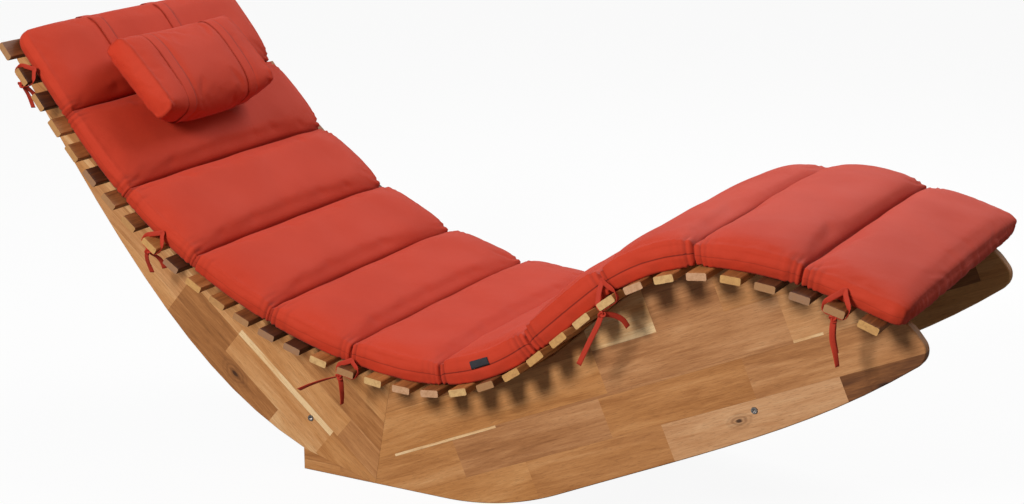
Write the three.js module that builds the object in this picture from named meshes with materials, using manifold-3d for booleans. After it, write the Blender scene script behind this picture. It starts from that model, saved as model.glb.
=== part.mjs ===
// Rocking chaise lounge: a bed of slats on two rocking side panels, a channelled cushion and a head pillow.
// Millimetres, +Z up, +X towards the foot. The near side is -Y, and the origin is on the floor in the middle.
import * as THREE from 'three';
import { mergeVertices } from 'three/addons/utils/BufferGeometryUtils.js';
import Module from 'manifold-3d';

const wasm = await Module();
wasm.setup();

const degrees = Math.PI / 180;
const sides = [{ name: 'near', sign: -1 }, { name: 'far', sign: 1 }];

// clearance, how far a cutter runs past what it cuts, and the faces of a round piece
const gap = 0.3;
const cutOverrun = 5;
const roundSides = 12;

// slats
const slatCount = 35;
const slatPitch = 50;
const slatLength = 615;
const slatWidth = 30;
const slatThickness = 11;
const slatEase = 1.5;

// the line through the slats, from the head slat over the seat and the knee to the foot
const headSlatX = -500;
const headSlatZ = 654;
const headSlope = -51.2 * degrees;
const headStraightLength = 160;
const backRadius = 885;
const backTurn = 47.4 * degrees;
const seatRadius = 311;
const seatTurn = 46.5 * degrees;
const thighStraightLength = 136;
const kneeRadius = 269;
const kneeTurn = 44.2 * degrees;
const calfRadius = 687;

// side panels: boards glued edge to edge in one plane
const panelSpread = 442;
const boardThickness = 18;
const boardEase = 1.5;
const headDepth = 57;
const headCorner = 9;
const flatLength = 262;
const rockerRadius = 470;
const rockerTurn = 25 * degrees;
const noseRadius = 25;
const noseAhead = 45;
const noseDrop = 40;
const noseTopAngle = 40 * degrees;
const noseToeAngle = -52 * degrees;
const heelHeight = 36;
const heelLength = 136;
const heelSlope = 157.9 * degrees;
const rearHeadSlope = 123.3 * degrees;
const mitreLean = 10 * degrees;
const toeHandleShare = 0.3;
const rockerHandleShare = 0.45;
const heelHandleShare = 0.26;
const rearHandleShare = 0.5;
const noseHandleShare = 0.35;

// cross rails and what holds them: the rear one stands behind the mitre, the front one under the bed line
const railHeight = 45;
const railThickness = 28;
const railEase = 2;
const rearRailMitreGap = 133.8;
const rearRailMitreShare = 0.332;
const rearRailTurn = -30 * degrees;
const frontRailFootGap = 175.3;
const frontRailDrop = 211.7;
const frontRailTurn = 20 * degrees;
const boltHeadRadius = 5;
const boltHeadHeight = 6;
const boltRadius = 3;
const boltSink = 4.5;
const boltLength = 56;
const socketRadius = 2.9;
const socketDepth = 3.5;
const socketSides = 6;
const nutRadius = 5;
const nutLength = 15;
const nutInset = 32;
const dowelRadius = 4;
const dowelLength = 36;
const dowelEase = 1;
const railDowelOffset = 13;
const mitreDowelShares = [0.22, 0.5, 0.78];
const heelDowelShares = [0.58, 0.82];
const heelDowelDepth = 10;

// cushion: pads between sewn channels
const padCount = 11;
const cushionWidth = 558;
const cushionHeadReach = 16;
const cushionFootReach = 36;
const headCrownHeight = 44;
const footCrownHeight = 54;
const seamHeight = 9;
const endHeight = 28;
const seamDraw = 9;
const gussetBulge = 4;
const padMiddle = 45;
const crownPower = 2.6;
const shoulderPower = 6;
const gussetShare = 0.7;
const padStationShares = [0, 0.07, 0.25, 0.5, 0.75, 0.93];
const padTopShares = [0.96, 0.86, 0.6, 0, -0.6, -0.86, -0.96];
const padBottomShares = [-1, -0.5, 0, 0.5, 1];

// head pillow, its straps and the line that it swings about
const pillowLength = 295;
const pillowWidth = 160;
const pillowThickness = 75;
const pillowPlace = 150;
const pillowOffset = -36;
const pillowPower = 2.6;
const pillowRingShares = [-1, -0.97, -0.88, -0.7, -0.4, 0, 0.4, 0.7, 0.88, 0.97, 1];
const pillowRingPoints = 20;
const pillowEndShare = 0.62;
const strapWidth = 25;
const strapThickness = 1.2;
const strapInset = 62;
const strapStandoff = 4;
const strapRampShare = 0.25;
const strapSewnShare = 0.5;

// tie tapes: each is sewn to the cushion's near side, goes round a slat, and ends in a knot with two tails
const tieSlats = [2, 9, 17, 27, 34];
const tapeWidth = 8;
const tapeThickness = 1.2;
const tieRise = 20;
const tieApexWidth = 6;
const knotRadius = 5;
const knotStretchShares = [1.1, 0.8, 0.9];
const knotSides = 8;
const knotRows = 6;
const tieEndInset = 8.5;
const tieLeanShare = 0.4;
// how far each knot lies towards the head, as a share of half the slat's width
const knotAheadShares = [-0.5, -0.1, 0.7, 1.1, -0.1];

// where each tie's two tails run from its knot: along the lounge, outwards and up
const tailRoutes = [
  [
    [[0, 0, 0], [-2, -8, -9], [-3, -16, -19], [-4, -23, -31], [-4, -28, -44]],
    [[0, 0, 0], [4, -9, -8], [6, -18, -17], [7, -26, -28], [8, -31, -40]],
  ],
  [
    [[0, 0, 0], [-6, -3, -9], [-10, -9, -20], [-12, -16, -31], [-12, -22, -43]],
    [[0, 0, 0], [2, -9, -8], [3, -19, -15], [4, -28, -25], [4, -34, -37]],
  ],
  [
    [[0, 0, 0], [-18, 1, -6], [-37, 2, -14], [-56, 3, -23], [-74, 3, -33]],
    [[0, 0, 0], [0, -3, -12], [-1, -6, -25], [-3, -10, -37], [-5, -12, -50]],
  ],
  [
    [[0, 0, 0], [-7, 1, -19], [-17, 1, -40], [-27, 0, -61], [-36, 0, -81]],
    [[0, 0, 0], [7, -8, -2], [14, -17, -6], [21, -25, -13], [26, -31, -24]],
  ],
  [
    [[0, 0, 0], [-1, 1, -15], [0, 1, -31], [5, 2, -48], [9, 3, -65]],
    [[0, 0, 0], [-1, -3, -13], [-2, -6, -26], [-1, -9, -39], [1, -12, -52]],
  ],
];

const wood = (color) => new THREE.MeshStandardMaterial({ color, roughness: 0.55, metalness: 0 });
const cloth = (color) => new THREE.MeshStandardMaterial({ color, roughness: 0.9, metalness: 0 });
const slatWood = [wood(0xb07a42), wood(0x8f5c30), wood(0xc4935a)];
const panelWood = wood(0xbd8a50);
const railWood = wood(0xa87544);
const steel = new THREE.MeshStandardMaterial({ color: 0xb9b9bb, roughness: 0.35, metalness: 1 });
const cushionCloth = cloth(0xb8402c);
const tapeCloth = cloth(0xb03a28);

const lounge = new THREE.Group();

function addPiece(name, geometry, material, parent = lounge) {
  const piece = new THREE.Mesh(geometry, material);
  piece.name = name;
  parent.add(piece);
  return piece;
}

// a closed mesh as a solid that can be joined and cut, and back again
function solidOf(geometry) {
  const bare = geometry.clone();
  bare.deleteAttribute('normal');
  bare.deleteAttribute('uv');
  const merged = mergeVertices(bare);
  return new wasm.Manifold(new wasm.Mesh({
    numProp: 3,
    vertProperties: merged.attributes.position.array,
    triVerts: new Uint32Array(merged.index.array),
  }));
}

function geometryOf(solid) {
  const mesh = solid.getMesh();
  const geometry = new THREE.BufferGeometry();
  geometry.setAttribute('position', new THREE.BufferAttribute(mesh.vertProperties, 3));
  geometry.setIndex(new THREE.BufferAttribute(mesh.triVerts, 1));
  geometry.computeVertexNormals();
  return geometry;
}

// rings of points, each a closed loop, joined into a closed skin with flat ends
function skin(rings) {
  const count = rings[0].length;
  const faces = [];
  for (let ring = 0; ring + 1 < rings.length; ring += 1) {
    for (let at = 0; at < count; at += 1) {
      const next = (at + 1) % count;
      const here = ring * count;
      const there = here + count;
      faces.push(here + at, here + next, there + next, here + at, there + next, there + at);
    }
  }
  const last = (rings.length - 1) * count;
  for (let at = 1; at + 1 < count; at += 1) {
    faces.push(0, at + 1, at, last, last + at, last + at + 1);
  }
  const geometry = new THREE.BufferGeometry().setFromPoints(rings.flat());
  geometry.setIndex(faces);
  geometry.computeVertexNormals();
  return geometry;
}

// the bed line

const bedSpans = [
  { length: headStraightLength, bend: 0 },
  { length: backRadius * backTurn, bend: 1 / backRadius },
  { length: seatRadius * seatTurn, bend: 1 / seatRadius },
  { length: thighStraightLength, bend: 0 },
  { length: kneeRadius * kneeTurn, bend: -1 / kneeRadius },
  { length: slatCount * slatPitch, bend: -1 / calfRadius },
];

// place on the bed line at a distance from the head slat: x, z, the heading and how the line bends there
function bedPlace(distance) {
  let x = headSlatX;
  let z = headSlatZ;
  let heading = headSlope;
  let bend = 0;
  let left = distance;
  for (const span of bedSpans) {
    const run = Math.min(left, span.length);
    bend = span.bend;
    if (bend === 0) {
      x += run * Math.cos(heading);
      z += run * Math.sin(heading);
    } else {
      x += (Math.sin(heading + bend * run) - Math.sin(heading)) / bend;
      z += (Math.cos(heading) - Math.cos(heading + bend * run)) / bend;
    }
    heading += bend * run;
    left -= run;
    if (left <= 0) {
      break;
    }
  }
  return { x, z, heading, bend };
}

// the point that stands off the bed line by a height, square to it
function bedPoint(distance, height) {
  const { x, z, heading } = bedPlace(distance);
  return new THREE.Vector2(x - Math.sin(heading) * height, z + Math.cos(heading) * height);
}

// a slat lies on the facet between the two half-pitch points on either side of it
function slatSeat(index) {
  const start = bedPoint((index - 0.5) * slatPitch, 0);
  const end = bedPoint((index + 0.5) * slatPitch, 0);
  return {
    x: (start.x + end.x) / 2,
    z: (start.y + end.y) / 2,
    heading: Math.atan2(end.y - start.y, end.x - start.x),
  };
}

// outline of a bar: a rectangle about the origin with its corners eased
function easedRectangle(width, height, ease) {
  const right = width / 2;
  const top = height / 2;
  return new THREE.Shape([
    [ease - right, -top], [right - ease, -top], [right, ease - top], [right, top - ease],
    [right - ease, top], [ease - right, top], [-right, top - ease], [-right, ease - top],
  ].map(([x, y]) => new THREE.Vector2(x, y)));
}

// a bar along Y, from an outline in x and z, centred on y = 0
function barAcross(shape, length) {
  const bar = new THREE.ExtrudeGeometry(shape, { depth: length, bevelEnabled: false });
  bar.translate(0, 0, -length / 2);
  bar.rotateX(Math.PI / 2);
  return bar;
}

function seatPiece(piece, seat, y = 0) {
  piece.position.set(seat.x, y, seat.z);
  piece.rotation.y = -seat.heading;
}

function addSlats() {
  const slat = barAcross(easedRectangle(slatWidth, slatThickness, slatEase), slatLength);
  for (let index = 0; index < slatCount; index += 1) {
    const name = `slat_${String(index + 1).padStart(2, '0')}`;
    seatPiece(addPiece(name, slat, slatWood[index % slatWood.length]), slatSeat(index));
  }
}

// side panels

const seatDrop = slatThickness / 2 + gap;

// side view of a whole panel: along the slats to the foot, round the nose, and back along the floor
function panelShape() {
  const shape = new THREE.Shape();
  const headTop = bedPoint(-slatWidth / 2, -seatDrop);
  shape.moveTo(headTop.x, headTop.y);
  for (let index = 1; index <= slatCount; index += 1) {
    const corner = bedPoint((index - 0.5) * slatPitch, -seatDrop);
    shape.lineTo(corner.x, corner.y);
  }

  const foot = (slatCount - 1) * slatPitch;
  const footEnd = bedPoint(foot + slatPitch / 2, -seatDrop);
  const footHeading = bedPlace(foot + slatPitch / 2).heading;
  const nose = bedPoint(foot, -noseDrop);
  nose.x += noseAhead * Math.cos(footHeading);
  nose.y += noseAhead * Math.sin(footHeading);
  const onNose = (angle) => new THREE.Vector2(
    nose.x + noseRadius * Math.cos(angle),
    nose.y + noseRadius * Math.sin(angle),
  );
  const downNose = (angle) => angle - Math.PI / 2;
  const noseTop = onNose(noseTopAngle);
  curveTo(shape, footEnd, footHeading, noseHandleShare, noseTop, downNose(noseTopAngle), noseHandleShare);
  shape.absarc(nose.x, nose.y, noseRadius, noseTopAngle, noseToeAngle, true);

  const rockerEnd = new THREE.Vector2(
    flatLength + rockerRadius * Math.sin(rockerTurn),
    rockerRadius * (1 - Math.cos(rockerTurn)),
  );
  const toe = onNose(noseToeAngle);
  const rockerBack = rockerTurn + Math.PI;
  curveTo(shape, toe, downNose(noseToeAngle), toeHandleShare, rockerEnd, rockerBack, rockerHandleShare);
  shape.absarc(flatLength, rockerRadius, rockerRadius, rockerTurn - Math.PI / 2, -Math.PI / 2, true);
  shape.lineTo(0, 0);
  shape.lineTo(0, heelHeight);

  const rearCorner = bedPoint(headCorner - slatWidth / 2, -seatDrop - headDepth);
  const heelTop = new THREE.Vector2(0, heelHeight);
  curveTo(shape, heelTop, heelSlope, heelHandleShare, rearCorner, rearHeadSlope, rearHandleShare);
  const cornerPoint = bedPoint(-slatWidth / 2, -seatDrop - headDepth);
  const cornerEnd = bedPoint(-slatWidth / 2, headCorner - seatDrop - headDepth);
  shape.quadraticCurveTo(cornerPoint.x, cornerPoint.y, cornerEnd.x, cornerEnd.y);
  return shape;
}

// a smooth curve that leaves one point and reaches the next on given headings
function curveTo(shape, start, startHeading, startShare, end, endHeading, endShare) {
  const span = start.distanceTo(end);
  shape.bezierCurveTo(
    start.x + Math.cos(startHeading) * span * startShare,
    start.y + Math.sin(startHeading) * span * startShare,
    end.x - Math.cos(endHeading) * span * endShare,
    end.y - Math.sin(endHeading) * span * endShare,
    end.x,
    end.y,
  );
}

// everything on one side of a line in side view, half a glue gap away from it
function beside(line, side) {
  const reach = slatCount * slatPitch;
  const along = new THREE.Vector2(Math.cos(line.heading), Math.sin(line.heading));
  const off = new THREE.Vector2(-along.y, along.x).multiplyScalar(side);
  const corner = (run, out) => line.start.clone().addScaledVector(along, run).addScaledVector(off, out);
  const outline = new THREE.Shape([
    corner(-reach, gap / 2), corner(reach, gap / 2), corner(reach, reach), corner(-reach, reach),
  ]);
  const prism = new THREE.ExtrudeGeometry(outline, {
    depth: boardThickness + 2 * cutOverrun,
    bevelEnabled: false,
  });
  prism.translate(0, 0, -cutOverrun);
  return solidOf(prism);
}

const mitre = { start: new THREE.Vector2(heelLength, 0), heading: Math.PI / 2 - mitreLean };
const heelJoint = {
  start: new THREE.Vector2(heelLength, 0),
  heading: Math.atan2(heelHeight, -heelLength),
  length: Math.hypot(heelHeight, heelLength),
};

// length of the mitre: from the floor to the panel's edge under the slats
function mitreLength() {
  const atX = (z) => heelLength + z * Math.tan(mitreLean);
  for (let index = 1; index < slatCount; index += 1) {
    const start = bedPoint((index - 0.5) * slatPitch, -seatDrop);
    const end = bedPoint((index + 0.5) * slatPitch, -seatDrop);
    if (end.x > atX(end.y)) {
      const before = atX(start.y) - start.x;
      const after = end.x - atX(end.y);
      const z = start.y + (end.y - start.y) * before / (before + after);
      return z / Math.cos(mitreLean);
    }
  }
  return rockerRadius;
}

// a dowel across a joint: where its middle is in side view, and its heading
function jointDowels(line, length, shares, heelDepth = dowelLength / 2) {
  return shares.map((share) => {
    const along = new THREE.Vector2(Math.cos(line.heading), Math.sin(line.heading));
    const off = new THREE.Vector2(along.y, -along.x);
    const shift = dowelLength / 2 - heelDepth;
    const middle = line.start.clone().addScaledVector(along, length * share).addScaledVector(off, shift);
    return { x: middle.x, z: middle.y, heading: Math.atan2(off.y, off.x) };
  });
}

const mitreDowels = jointDowels(mitre, mitreLength(), mitreDowelShares);
const heelDowels = jointDowels(heelJoint, heelJoint.length, heelDowelShares, heelDowelDepth);

// a round pin along X about the origin, with eased ends
function pin(radius, length, ease) {
  const half = length / 2;
  const profile = [[0, -half], [radius - ease, -half], [radius, ease - half],
    [radius, half - ease], [radius - ease, half], [0, half]];
  const turned = new THREE.LatheGeometry(profile.map(([r, y]) => new THREE.Vector2(r, y)), roundSides);
  turned.rotateZ(-Math.PI / 2);
  return turned;
}

function drill(radius, length) {
  const cylinder = new THREE.CylinderGeometry(radius, radius, length, roundSides);
  cylinder.rotateZ(-Math.PI / 2);
  return cylinder;
}

const bedLength = (slatCount - 1) * slatPitch;
const rails = [rearRail(), frontRail()];

function rearRail() {
  const along = new THREE.Vector2(Math.cos(mitre.heading), Math.sin(mitre.heading));
  const behind = new THREE.Vector2(-along.y, along.x);
  const place = mitre.start.clone().addScaledVector(along, mitreLength() * rearRailMitreShare)
    .addScaledVector(behind, rearRailMitreGap);
  return { name: 'rear_rail', turn: rearRailTurn, x: place.x, z: place.y };
}

function frontRail() {
  const place = bedPoint(bedLength - frontRailFootGap, -frontRailDrop);
  return { name: 'front_rail', turn: frontRailTurn, x: place.x, z: place.y };
}

// the dowel that keeps a rail from turning stands beside its bolt
function railDowelPlace(rail) {
  return {
    x: rail.x - railDowelOffset * Math.sin(rail.turn),
    z: rail.z + railDowelOffset * Math.cos(rail.turn),
  };
}

// boards are cut in side view, with z across the lounge; outward is +1 where z grows to the outside
function cutBoards(outward) {
  const middle = boardThickness / 2;
  const outerFace = middle + outward * middle;
  const innerFace = middle - outward * middle;
  let panel = solidOf(new THREE.ExtrudeGeometry(panelShape(), {
    depth: boardThickness - 2 * boardEase,
    bevelThickness: boardEase,
    bevelSize: boardEase,
    bevelOffset: -boardEase,
    bevelSegments: 1,
  }).translate(0, 0, boardEase));
  for (const rail of rails) {
    const through = drill(boltRadius + gap, boardThickness + 2 * cutOverrun);
    through.rotateY(Math.PI / 2).translate(rail.x, rail.z, middle);
    const sink = drill(boltHeadRadius + gap, 2 * boltSink);
    sink.rotateY(Math.PI / 2).translate(rail.x, rail.z, outerFace);
    const place = railDowelPlace(rail);
    const pinHole = drill(dowelRadius + gap, 2 * (railDowelDepth + gap));
    pinHole.rotateY(Math.PI / 2).translate(place.x, place.z, innerFace);
    panel = panel.subtract(solidOf(through)).subtract(solidOf(sink)).subtract(solidOf(pinHole));
  }
  const rear = panel.intersect(beside(mitre, 1));
  let back = rear.intersect(beside(heelJoint, -1));
  let heel = rear.intersect(beside(heelJoint, 1));
  let front = panel.intersect(beside(mitre, -1));
  for (const dowel of mitreDowels) {
    back = back.add(solidOf(across(pin(dowelRadius, dowelLength, dowelEase), dowel, middle)));
    front = front.subtract(solidOf(across(drill(dowelRadius + gap, dowelLength + 2 * gap), dowel, middle)));
  }
  for (const dowel of heelDowels) {
    heel = heel.add(solidOf(across(pin(dowelRadius, dowelLength, dowelEase), dowel, middle)));
    back = back.subtract(solidOf(across(drill(dowelRadius + gap, dowelLength + 2 * gap), dowel, middle)));
  }
  return { back_board: back, front_board: front, heel_board: heel };
}

// a pin or a hole in the plane of a panel, across one of its joints
function across(round, dowel, middle) {
  return round.rotateZ(dowel.heading).translate(dowel.x, dowel.z, middle);
}

const railDowelDepth = boardThickness / 2;
const innerHalf = panelSpread / 2 - boardThickness;

function addPanels() {
  for (const side of sides) {
    const boards = cutBoards(-side.sign);
    for (const [name, solid] of Object.entries(boards)) {
      const board = addPiece(`${name}_${side.name}`, geometryOf(solid), panelWood);
      board.rotation.x = Math.PI / 2;
      board.position.y = side.sign < 0 ? -innerHalf : panelSpread / 2;
    }
  }
}

// rails, bolts, nuts and dowels

const railLength = 2 * (innerHalf - gap);

function addRails() {
  for (const rail of rails) {
    let solid = solidOf(barAcross(easedRectangle(railThickness, railHeight, railEase), railLength));
    for (const side of sides) {
      const bore = drill(boltRadius + gap, 2 * (boltReach + gap));
      bore.rotateZ(Math.PI / 2).translate(0, side.sign * railLength / 2, 0);
      const nutBoreEnd = nutLength / 2 + gap;
      const nutBoreLength = nutBoreEnd + railThickness / 2 + cutOverrun;
      const nutBore = drill(nutRadius + gap, nutBoreLength);
      nutBore.translate(nutBoreEnd - nutBoreLength / 2, side.sign * (railLength / 2 - nutInset), 0);
      const dowel = pin(dowelRadius, dowelLength, dowelEase);
      const dowelMiddle = innerHalf + railDowelDepth - dowelLength / 2;
      dowel.rotateZ(Math.PI / 2).translate(0, side.sign * dowelMiddle, railDowelOffset);
      solid = solid.subtract(solidOf(bore)).subtract(solidOf(nutBore)).add(solidOf(dowel));
    }
    seatPiece(addPiece(rail.name, geometryOf(solid), railWood), { x: rail.x, z: rail.z, heading: rail.turn });
  }
}

// how far a bolt's tip runs into a rail
const boltReach = boltLength - (boardThickness - boltSink) - gap;

function boltGeometry() {
  const profile = [[0, 0], [boltRadius, 0], [boltRadius, boltLength], [boltHeadRadius, boltLength],
    [boltHeadRadius, boltLength + boltHeadHeight], [0, boltLength + boltHeadHeight]];
  const turned = new THREE.LatheGeometry(profile.map(([r, y]) => new THREE.Vector2(r, y)), roundSides);
  const socket = new THREE.CylinderGeometry(socketRadius, socketRadius, 2 * socketDepth, socketSides);
  socket.translate(0, boltLength + boltHeadHeight, 0);
  return geometryOf(solidOf(turned).subtract(solidOf(socket)));
}

function nutGeometry() {
  const thread = new THREE.CylinderGeometry(boltRadius + gap, boltRadius + gap, 3 * nutRadius, roundSides);
  return geometryOf(solidOf(pin(nutRadius, nutLength, dowelEase)).subtract(solidOf(thread)));
}

function addFasteners() {
  const bolt = boltGeometry();
  const nut = nutGeometry();
  for (const side of sides) {
    for (const rail of rails) {
      const boltPiece = addPiece(`${rail.name}_bolt_${side.name}`, bolt, steel);
      boltPiece.position.set(rail.x, side.sign * (panelSpread / 2 - boltSink - boltLength), rail.z);
      boltPiece.rotation.z = side.sign < 0 ? Math.PI : 0;
      const nutPiece = addPiece(`${rail.name}_nut_${side.name}`, nut, steel);
      const seat = { x: rail.x, z: rail.z, heading: rail.turn };
      seatPiece(nutPiece, seat, side.sign * (railLength / 2 - nutInset));
    }
  }
}

// cushion

const slatTop = slatThickness / 2;

// distance along the bed line at a length along the cushion's middle, which is shorter where the bed is hollow
function bedDistance(length) {
  const bedHeading = (distance) => bedPlace(distance).heading - headSlope;
  let distance = length - cushionHeadReach;
  for (let pass = 0; pass < slatCount; pass += 1) {
    distance = length - cushionHeadReach + padMiddle * bedHeading(distance);
  }
  return distance;
}

const cushionTurn = bedPlace(bedLength + cushionFootReach).heading - headSlope;
const cushionLength = cushionHeadReach + bedLength + cushionFootReach - padMiddle * cushionTurn;
const padLength = cushionLength / padCount;

// the pads are thinner towards the head, where less filling is wanted under the back
function crownHeight(pad) {
  return headCrownHeight + (footCrownHeight - headCrownHeight) * pad / (padCount - 1);
}

// crown of a pad above the slats, from its share of the way between two seams
function padRise(pad, share) {
  const isOpenEnd = (pad === 0 && share < 0.5) || (pad === padCount - 1 && share > 0.5);
  const low = isOpenEnd ? endHeight : seamHeight;
  const swell = (1 - Math.abs(2 * share - 1) ** crownPower) ** (1 / crownPower);
  return { height: low + (crownHeight(pad) - low) * swell, swell: isOpenEnd ? 1 : swell };
}

const longestStep = Math.max(...padStationShares.map(
  (share, at) => (padStationShares[at + 1] ?? 1) - share,
)) * padLength;

// the cushion lies on the slats: a hollow lifts their tops off the bed line, and on a hump its own
// straight stretches sink below that line
function cushionLift(distance) {
  const near = [-slatPitch, 0, slatPitch].map((shift) => bedPlace(distance + shift).bend);
  const hollow = Math.max(0, ...near) * slatPitch ** 2 / 8;
  const hump = -Math.min(0, ...near) * (longestStep ** 2 - slatPitch ** 2 + slatWidth ** 2) / 8;
  return slatTop + gap + Math.max(hollow, hump);
}

function cushionRing(pad, share) {
  const distance = bedDistance((pad + share) * padLength);
  const { height, swell } = padRise(pad, share);
  const half = cushionWidth / 2 - seamDraw * (1 - swell);
  const gusset = height * gussetShare;
  const lift = cushionLift(distance);
  const at = (y, rise) => {
    const point = bedPoint(distance, lift + rise);
    return new THREE.Vector3(point.x, y, point.y);
  };
  const bulge = half + gussetBulge * swell;
  const crownRise = (y) => gusset + (height - gusset) * Math.sqrt(1 - Math.abs(y) ** shoulderPower);
  return [
    ...padBottomShares.map((y) => at(y * (half - gussetBulge / 2), 0)),
    at(bulge, gusset / 2),
    at(half, gusset),
    ...padTopShares.map((y) => at(y * half, crownRise(y))),
    at(-half, gusset),
    at(-bulge, gusset / 2),
  ];
}

function addCushion() {
  const rings = [];
  for (let pad = 0; pad < padCount; pad += 1) {
    for (const share of padStationShares) {
      rings.push(cushionRing(pad, share));
    }
  }
  rings.push(cushionRing(padCount - 1, 1));
  let cushion = solidOf(skin(rings));
  for (const anchor of strapAnchors()) {
    cushion = cushion.add(solidOf(anchor));
  }
  addPiece('seat_cushion', geometryOf(cushion), cushionCloth);
}

// head pillow: rings along Y in its own frame, x down the slope and z square to it

function pillowGirth(share) {
  const swell = (1 - Math.abs(share) ** (2 * pillowPower)) ** (1 / pillowPower);
  return pillowEndShare + (1 - pillowEndShare) * swell;
}

function pillowRing(share) {
  const girth = pillowGirth(share);
  const ring = [];
  for (let at = 0; at < pillowRingPoints; at += 1) {
    const angle = 2 * Math.PI * at / pillowRingPoints;
    const round = (value) => Math.sign(value) * Math.abs(value) ** (2 / pillowPower);
    const x = round(Math.cos(angle)) * girth * pillowWidth / 2;
    const z = round(Math.sin(angle)) * girth * pillowThickness / 2;
    ring.push(new THREE.Vector3(x, share * pillowLength / 2, z));
  }
  return ring.reverse();
}

// underside of the pillow's middle at a place along its width
function pillowUnderside(x) {
  const along = Math.min(1, Math.abs(2 * x / pillowWidth));
  return -((1 - along ** pillowPower) ** (1 / pillowPower)) * pillowThickness / 2;
}

// the pillow comes down square to the bed until it meets the crowns of the pads under it
function pillowSeat() {
  const { x, z, heading } = bedPlace(pillowPlace);
  const along = new THREE.Vector2(Math.cos(heading), Math.sin(heading));
  const up = new THREE.Vector2(-along.y, along.x);
  let rise = 0;
  const steps = 4 * padCount;
  for (let step = 0; step <= 2 * steps; step += 1) {
    const pad = Math.floor(step / steps);
    const share = step / steps - pad;
    const distance = bedDistance(step / steps * padLength);
    const lift = cushionLift(distance) + padRise(pad, share).height;
    const top = bedPoint(distance, lift).sub(new THREE.Vector2(x, z));
    const place = top.dot(along);
    if (Math.abs(place) < pillowWidth / 2) {
      rise = Math.max(rise, top.dot(up) - pillowUnderside(place) + gap);
    }
  }
  return { x: x + up.x * rise, z: z + up.y * rise, heading, rise };
}

// the straps turn over the head end on this line, level with the first pad's crown
const crownLevel = slatTop + gap + headCrownHeight;
const flipHeight = crownLevel + gap + strapThickness / 2;
const flipDistance = -cushionHeadReach - strapStandoff;

// where the two straps lie across the lounge
const strapPlaces = sides.map((side) => pillowOffset + side.sign * (pillowLength / 2 - strapInset));

// the straps' sewn ends, flat on the cushion's head face
function strapAnchors() {
  const top = flipHeight - strapThickness;
  const foot = slatTop + gap;
  return strapPlaces.map((y) => {
    const strip = new THREE.Shape([
      bedPoint(-cushionHeadReach - strapThickness, foot),
      bedPoint(-cushionHeadReach + strapThickness, foot),
      bedPoint(-cushionHeadReach + strapThickness, foot + endHeight * strapSewnShare),
      bedPoint(-cushionHeadReach, top - strapThickness),
      bedPoint(-cushionHeadReach - strapThickness, top - strapThickness),
    ]);
    return barAcross(strip, strapWidth).translate(0, y, 0);
  });
}

function addPillow() {
  const seat = pillowSeat();
  const pivot = bedPoint(flipDistance, flipHeight);
  const hinge = new THREE.Group();
  hinge.position.set(pivot.x, 0, pivot.y);
  hinge.rotation.y = -seat.heading;
  lounge.add(hinge);

  const run = pillowPlace - flipDistance;
  const rise = seat.rise - flipHeight;
  const pillow = addPiece('head_pillow', skin(pillowRingShares.map(pillowRing)), cushionCloth, hinge);
  pillow.position.set(run, pillowOffset, rise);

  const half = strapThickness / 2;
  const meet = run - pillowGirth(1 - 2 * strapInset / pillowLength) * pillowWidth / 2 - gap;
  const ramp = meet * (1 - strapRampShare);
  const strip = new THREE.Shape([
    [0, -half], [ramp, -half], [meet, rise - half], [meet, rise + half], [ramp, half], [0, half],
  ].map(([x, z]) => new THREE.Vector2(x, z)));
  const strap = barAcross(strip, strapWidth);
  sides.forEach((side, at) => {
    addPiece(`pillow_strap_${side.name}`, strap, cushionCloth, hinge).position.y = strapPlaces[at];
  });
}

// tie tapes

// side view of a tape's loop about the middle of its slat: tight round the slat, and up to a sewn end
function tieOutline(grow) {
  const side = slatWidth / 2 + gap + grow;
  const below = slatThickness / 2 + gap + grow;
  const apex = slatThickness / 2 + tieRise + grow;
  return [
    [-side, -below], [side, -below], [side, slatThickness / 2],
    [tieApexWidth / 2 + grow, apex], [-tieApexWidth / 2 - grow, apex], [-side, slatThickness / 2],
  ].map(([x, z]) => new THREE.Vector2(x, z));
}

function addTies() {
  const outline = new THREE.Shape(tieOutline(tapeThickness));
  outline.holes.push(new THREE.Path(tieOutline(0)));
  const loop = solidOf(barAcross(outline, tapeWidth));
  const knotDrop = slatThickness / 2 + gap + knotRadius * knotStretchShares[2];
  const lean = new THREE.Matrix4().set(1, 0, 0, 0, 0, 1, tieLeanShare, 0, 0, 0, 1, 0, 0, 0, 0, 1);

  tieSlats.forEach((slat, at) => {
    const seat = slatSeat(slat - 1);
    const placed = new THREE.Object3D();
    seatPiece(placed, seat, tieEndInset - slatLength / 2);
    placed.updateMatrix();
    placed.matrix.multiply(lean);
    const ahead = slatWidth / 2 * knotAheadShares[at];
    const knot = new THREE.SphereGeometry(knotRadius, knotSides, knotRows);
    knot.scale(...knotStretchShares).translate(-ahead, 0, -knotDrop);
    const knotted = geometryOf(loop.add(solidOf(knot)));
    const knotMiddle = new THREE.Vector3(-ahead, 0, -knotDrop).applyMatrix4(placed.matrix);
    let tie = solidOf(knotted.applyMatrix4(placed.matrix));
    for (const route of tailRoutes[at]) {
      tie = tie.add(solidOf(tailGeometry(knotMiddle, route)));
    }
    addPiece(`cushion_tie_${at + 1}`, geometryOf(tie), tapeCloth);
  });
}

function tailGeometry(knot, route) {
  const points = route.map(([along, out, up]) => new THREE.Vector3(knot.x + along, knot.y - out, knot.z + up));
  const section = easedRectangle(tapeThickness, tapeWidth, tapeThickness / 3);
  return new THREE.ExtrudeGeometry(section, {
    extrudePath: new THREE.CatmullRomCurve3(points),
    steps: points.length - 1,
  });
}

addSlats();
addPanels();
addRails();
addFasteners();
addCushion();
addPillow();
addTies();

// the origin goes to the floor under the middle of the lounge
const extent = new THREE.Box3().setFromObject(lounge);
lounge.position.x = -(extent.min.x + extent.max.x) / 2;

export default lounge;
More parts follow.
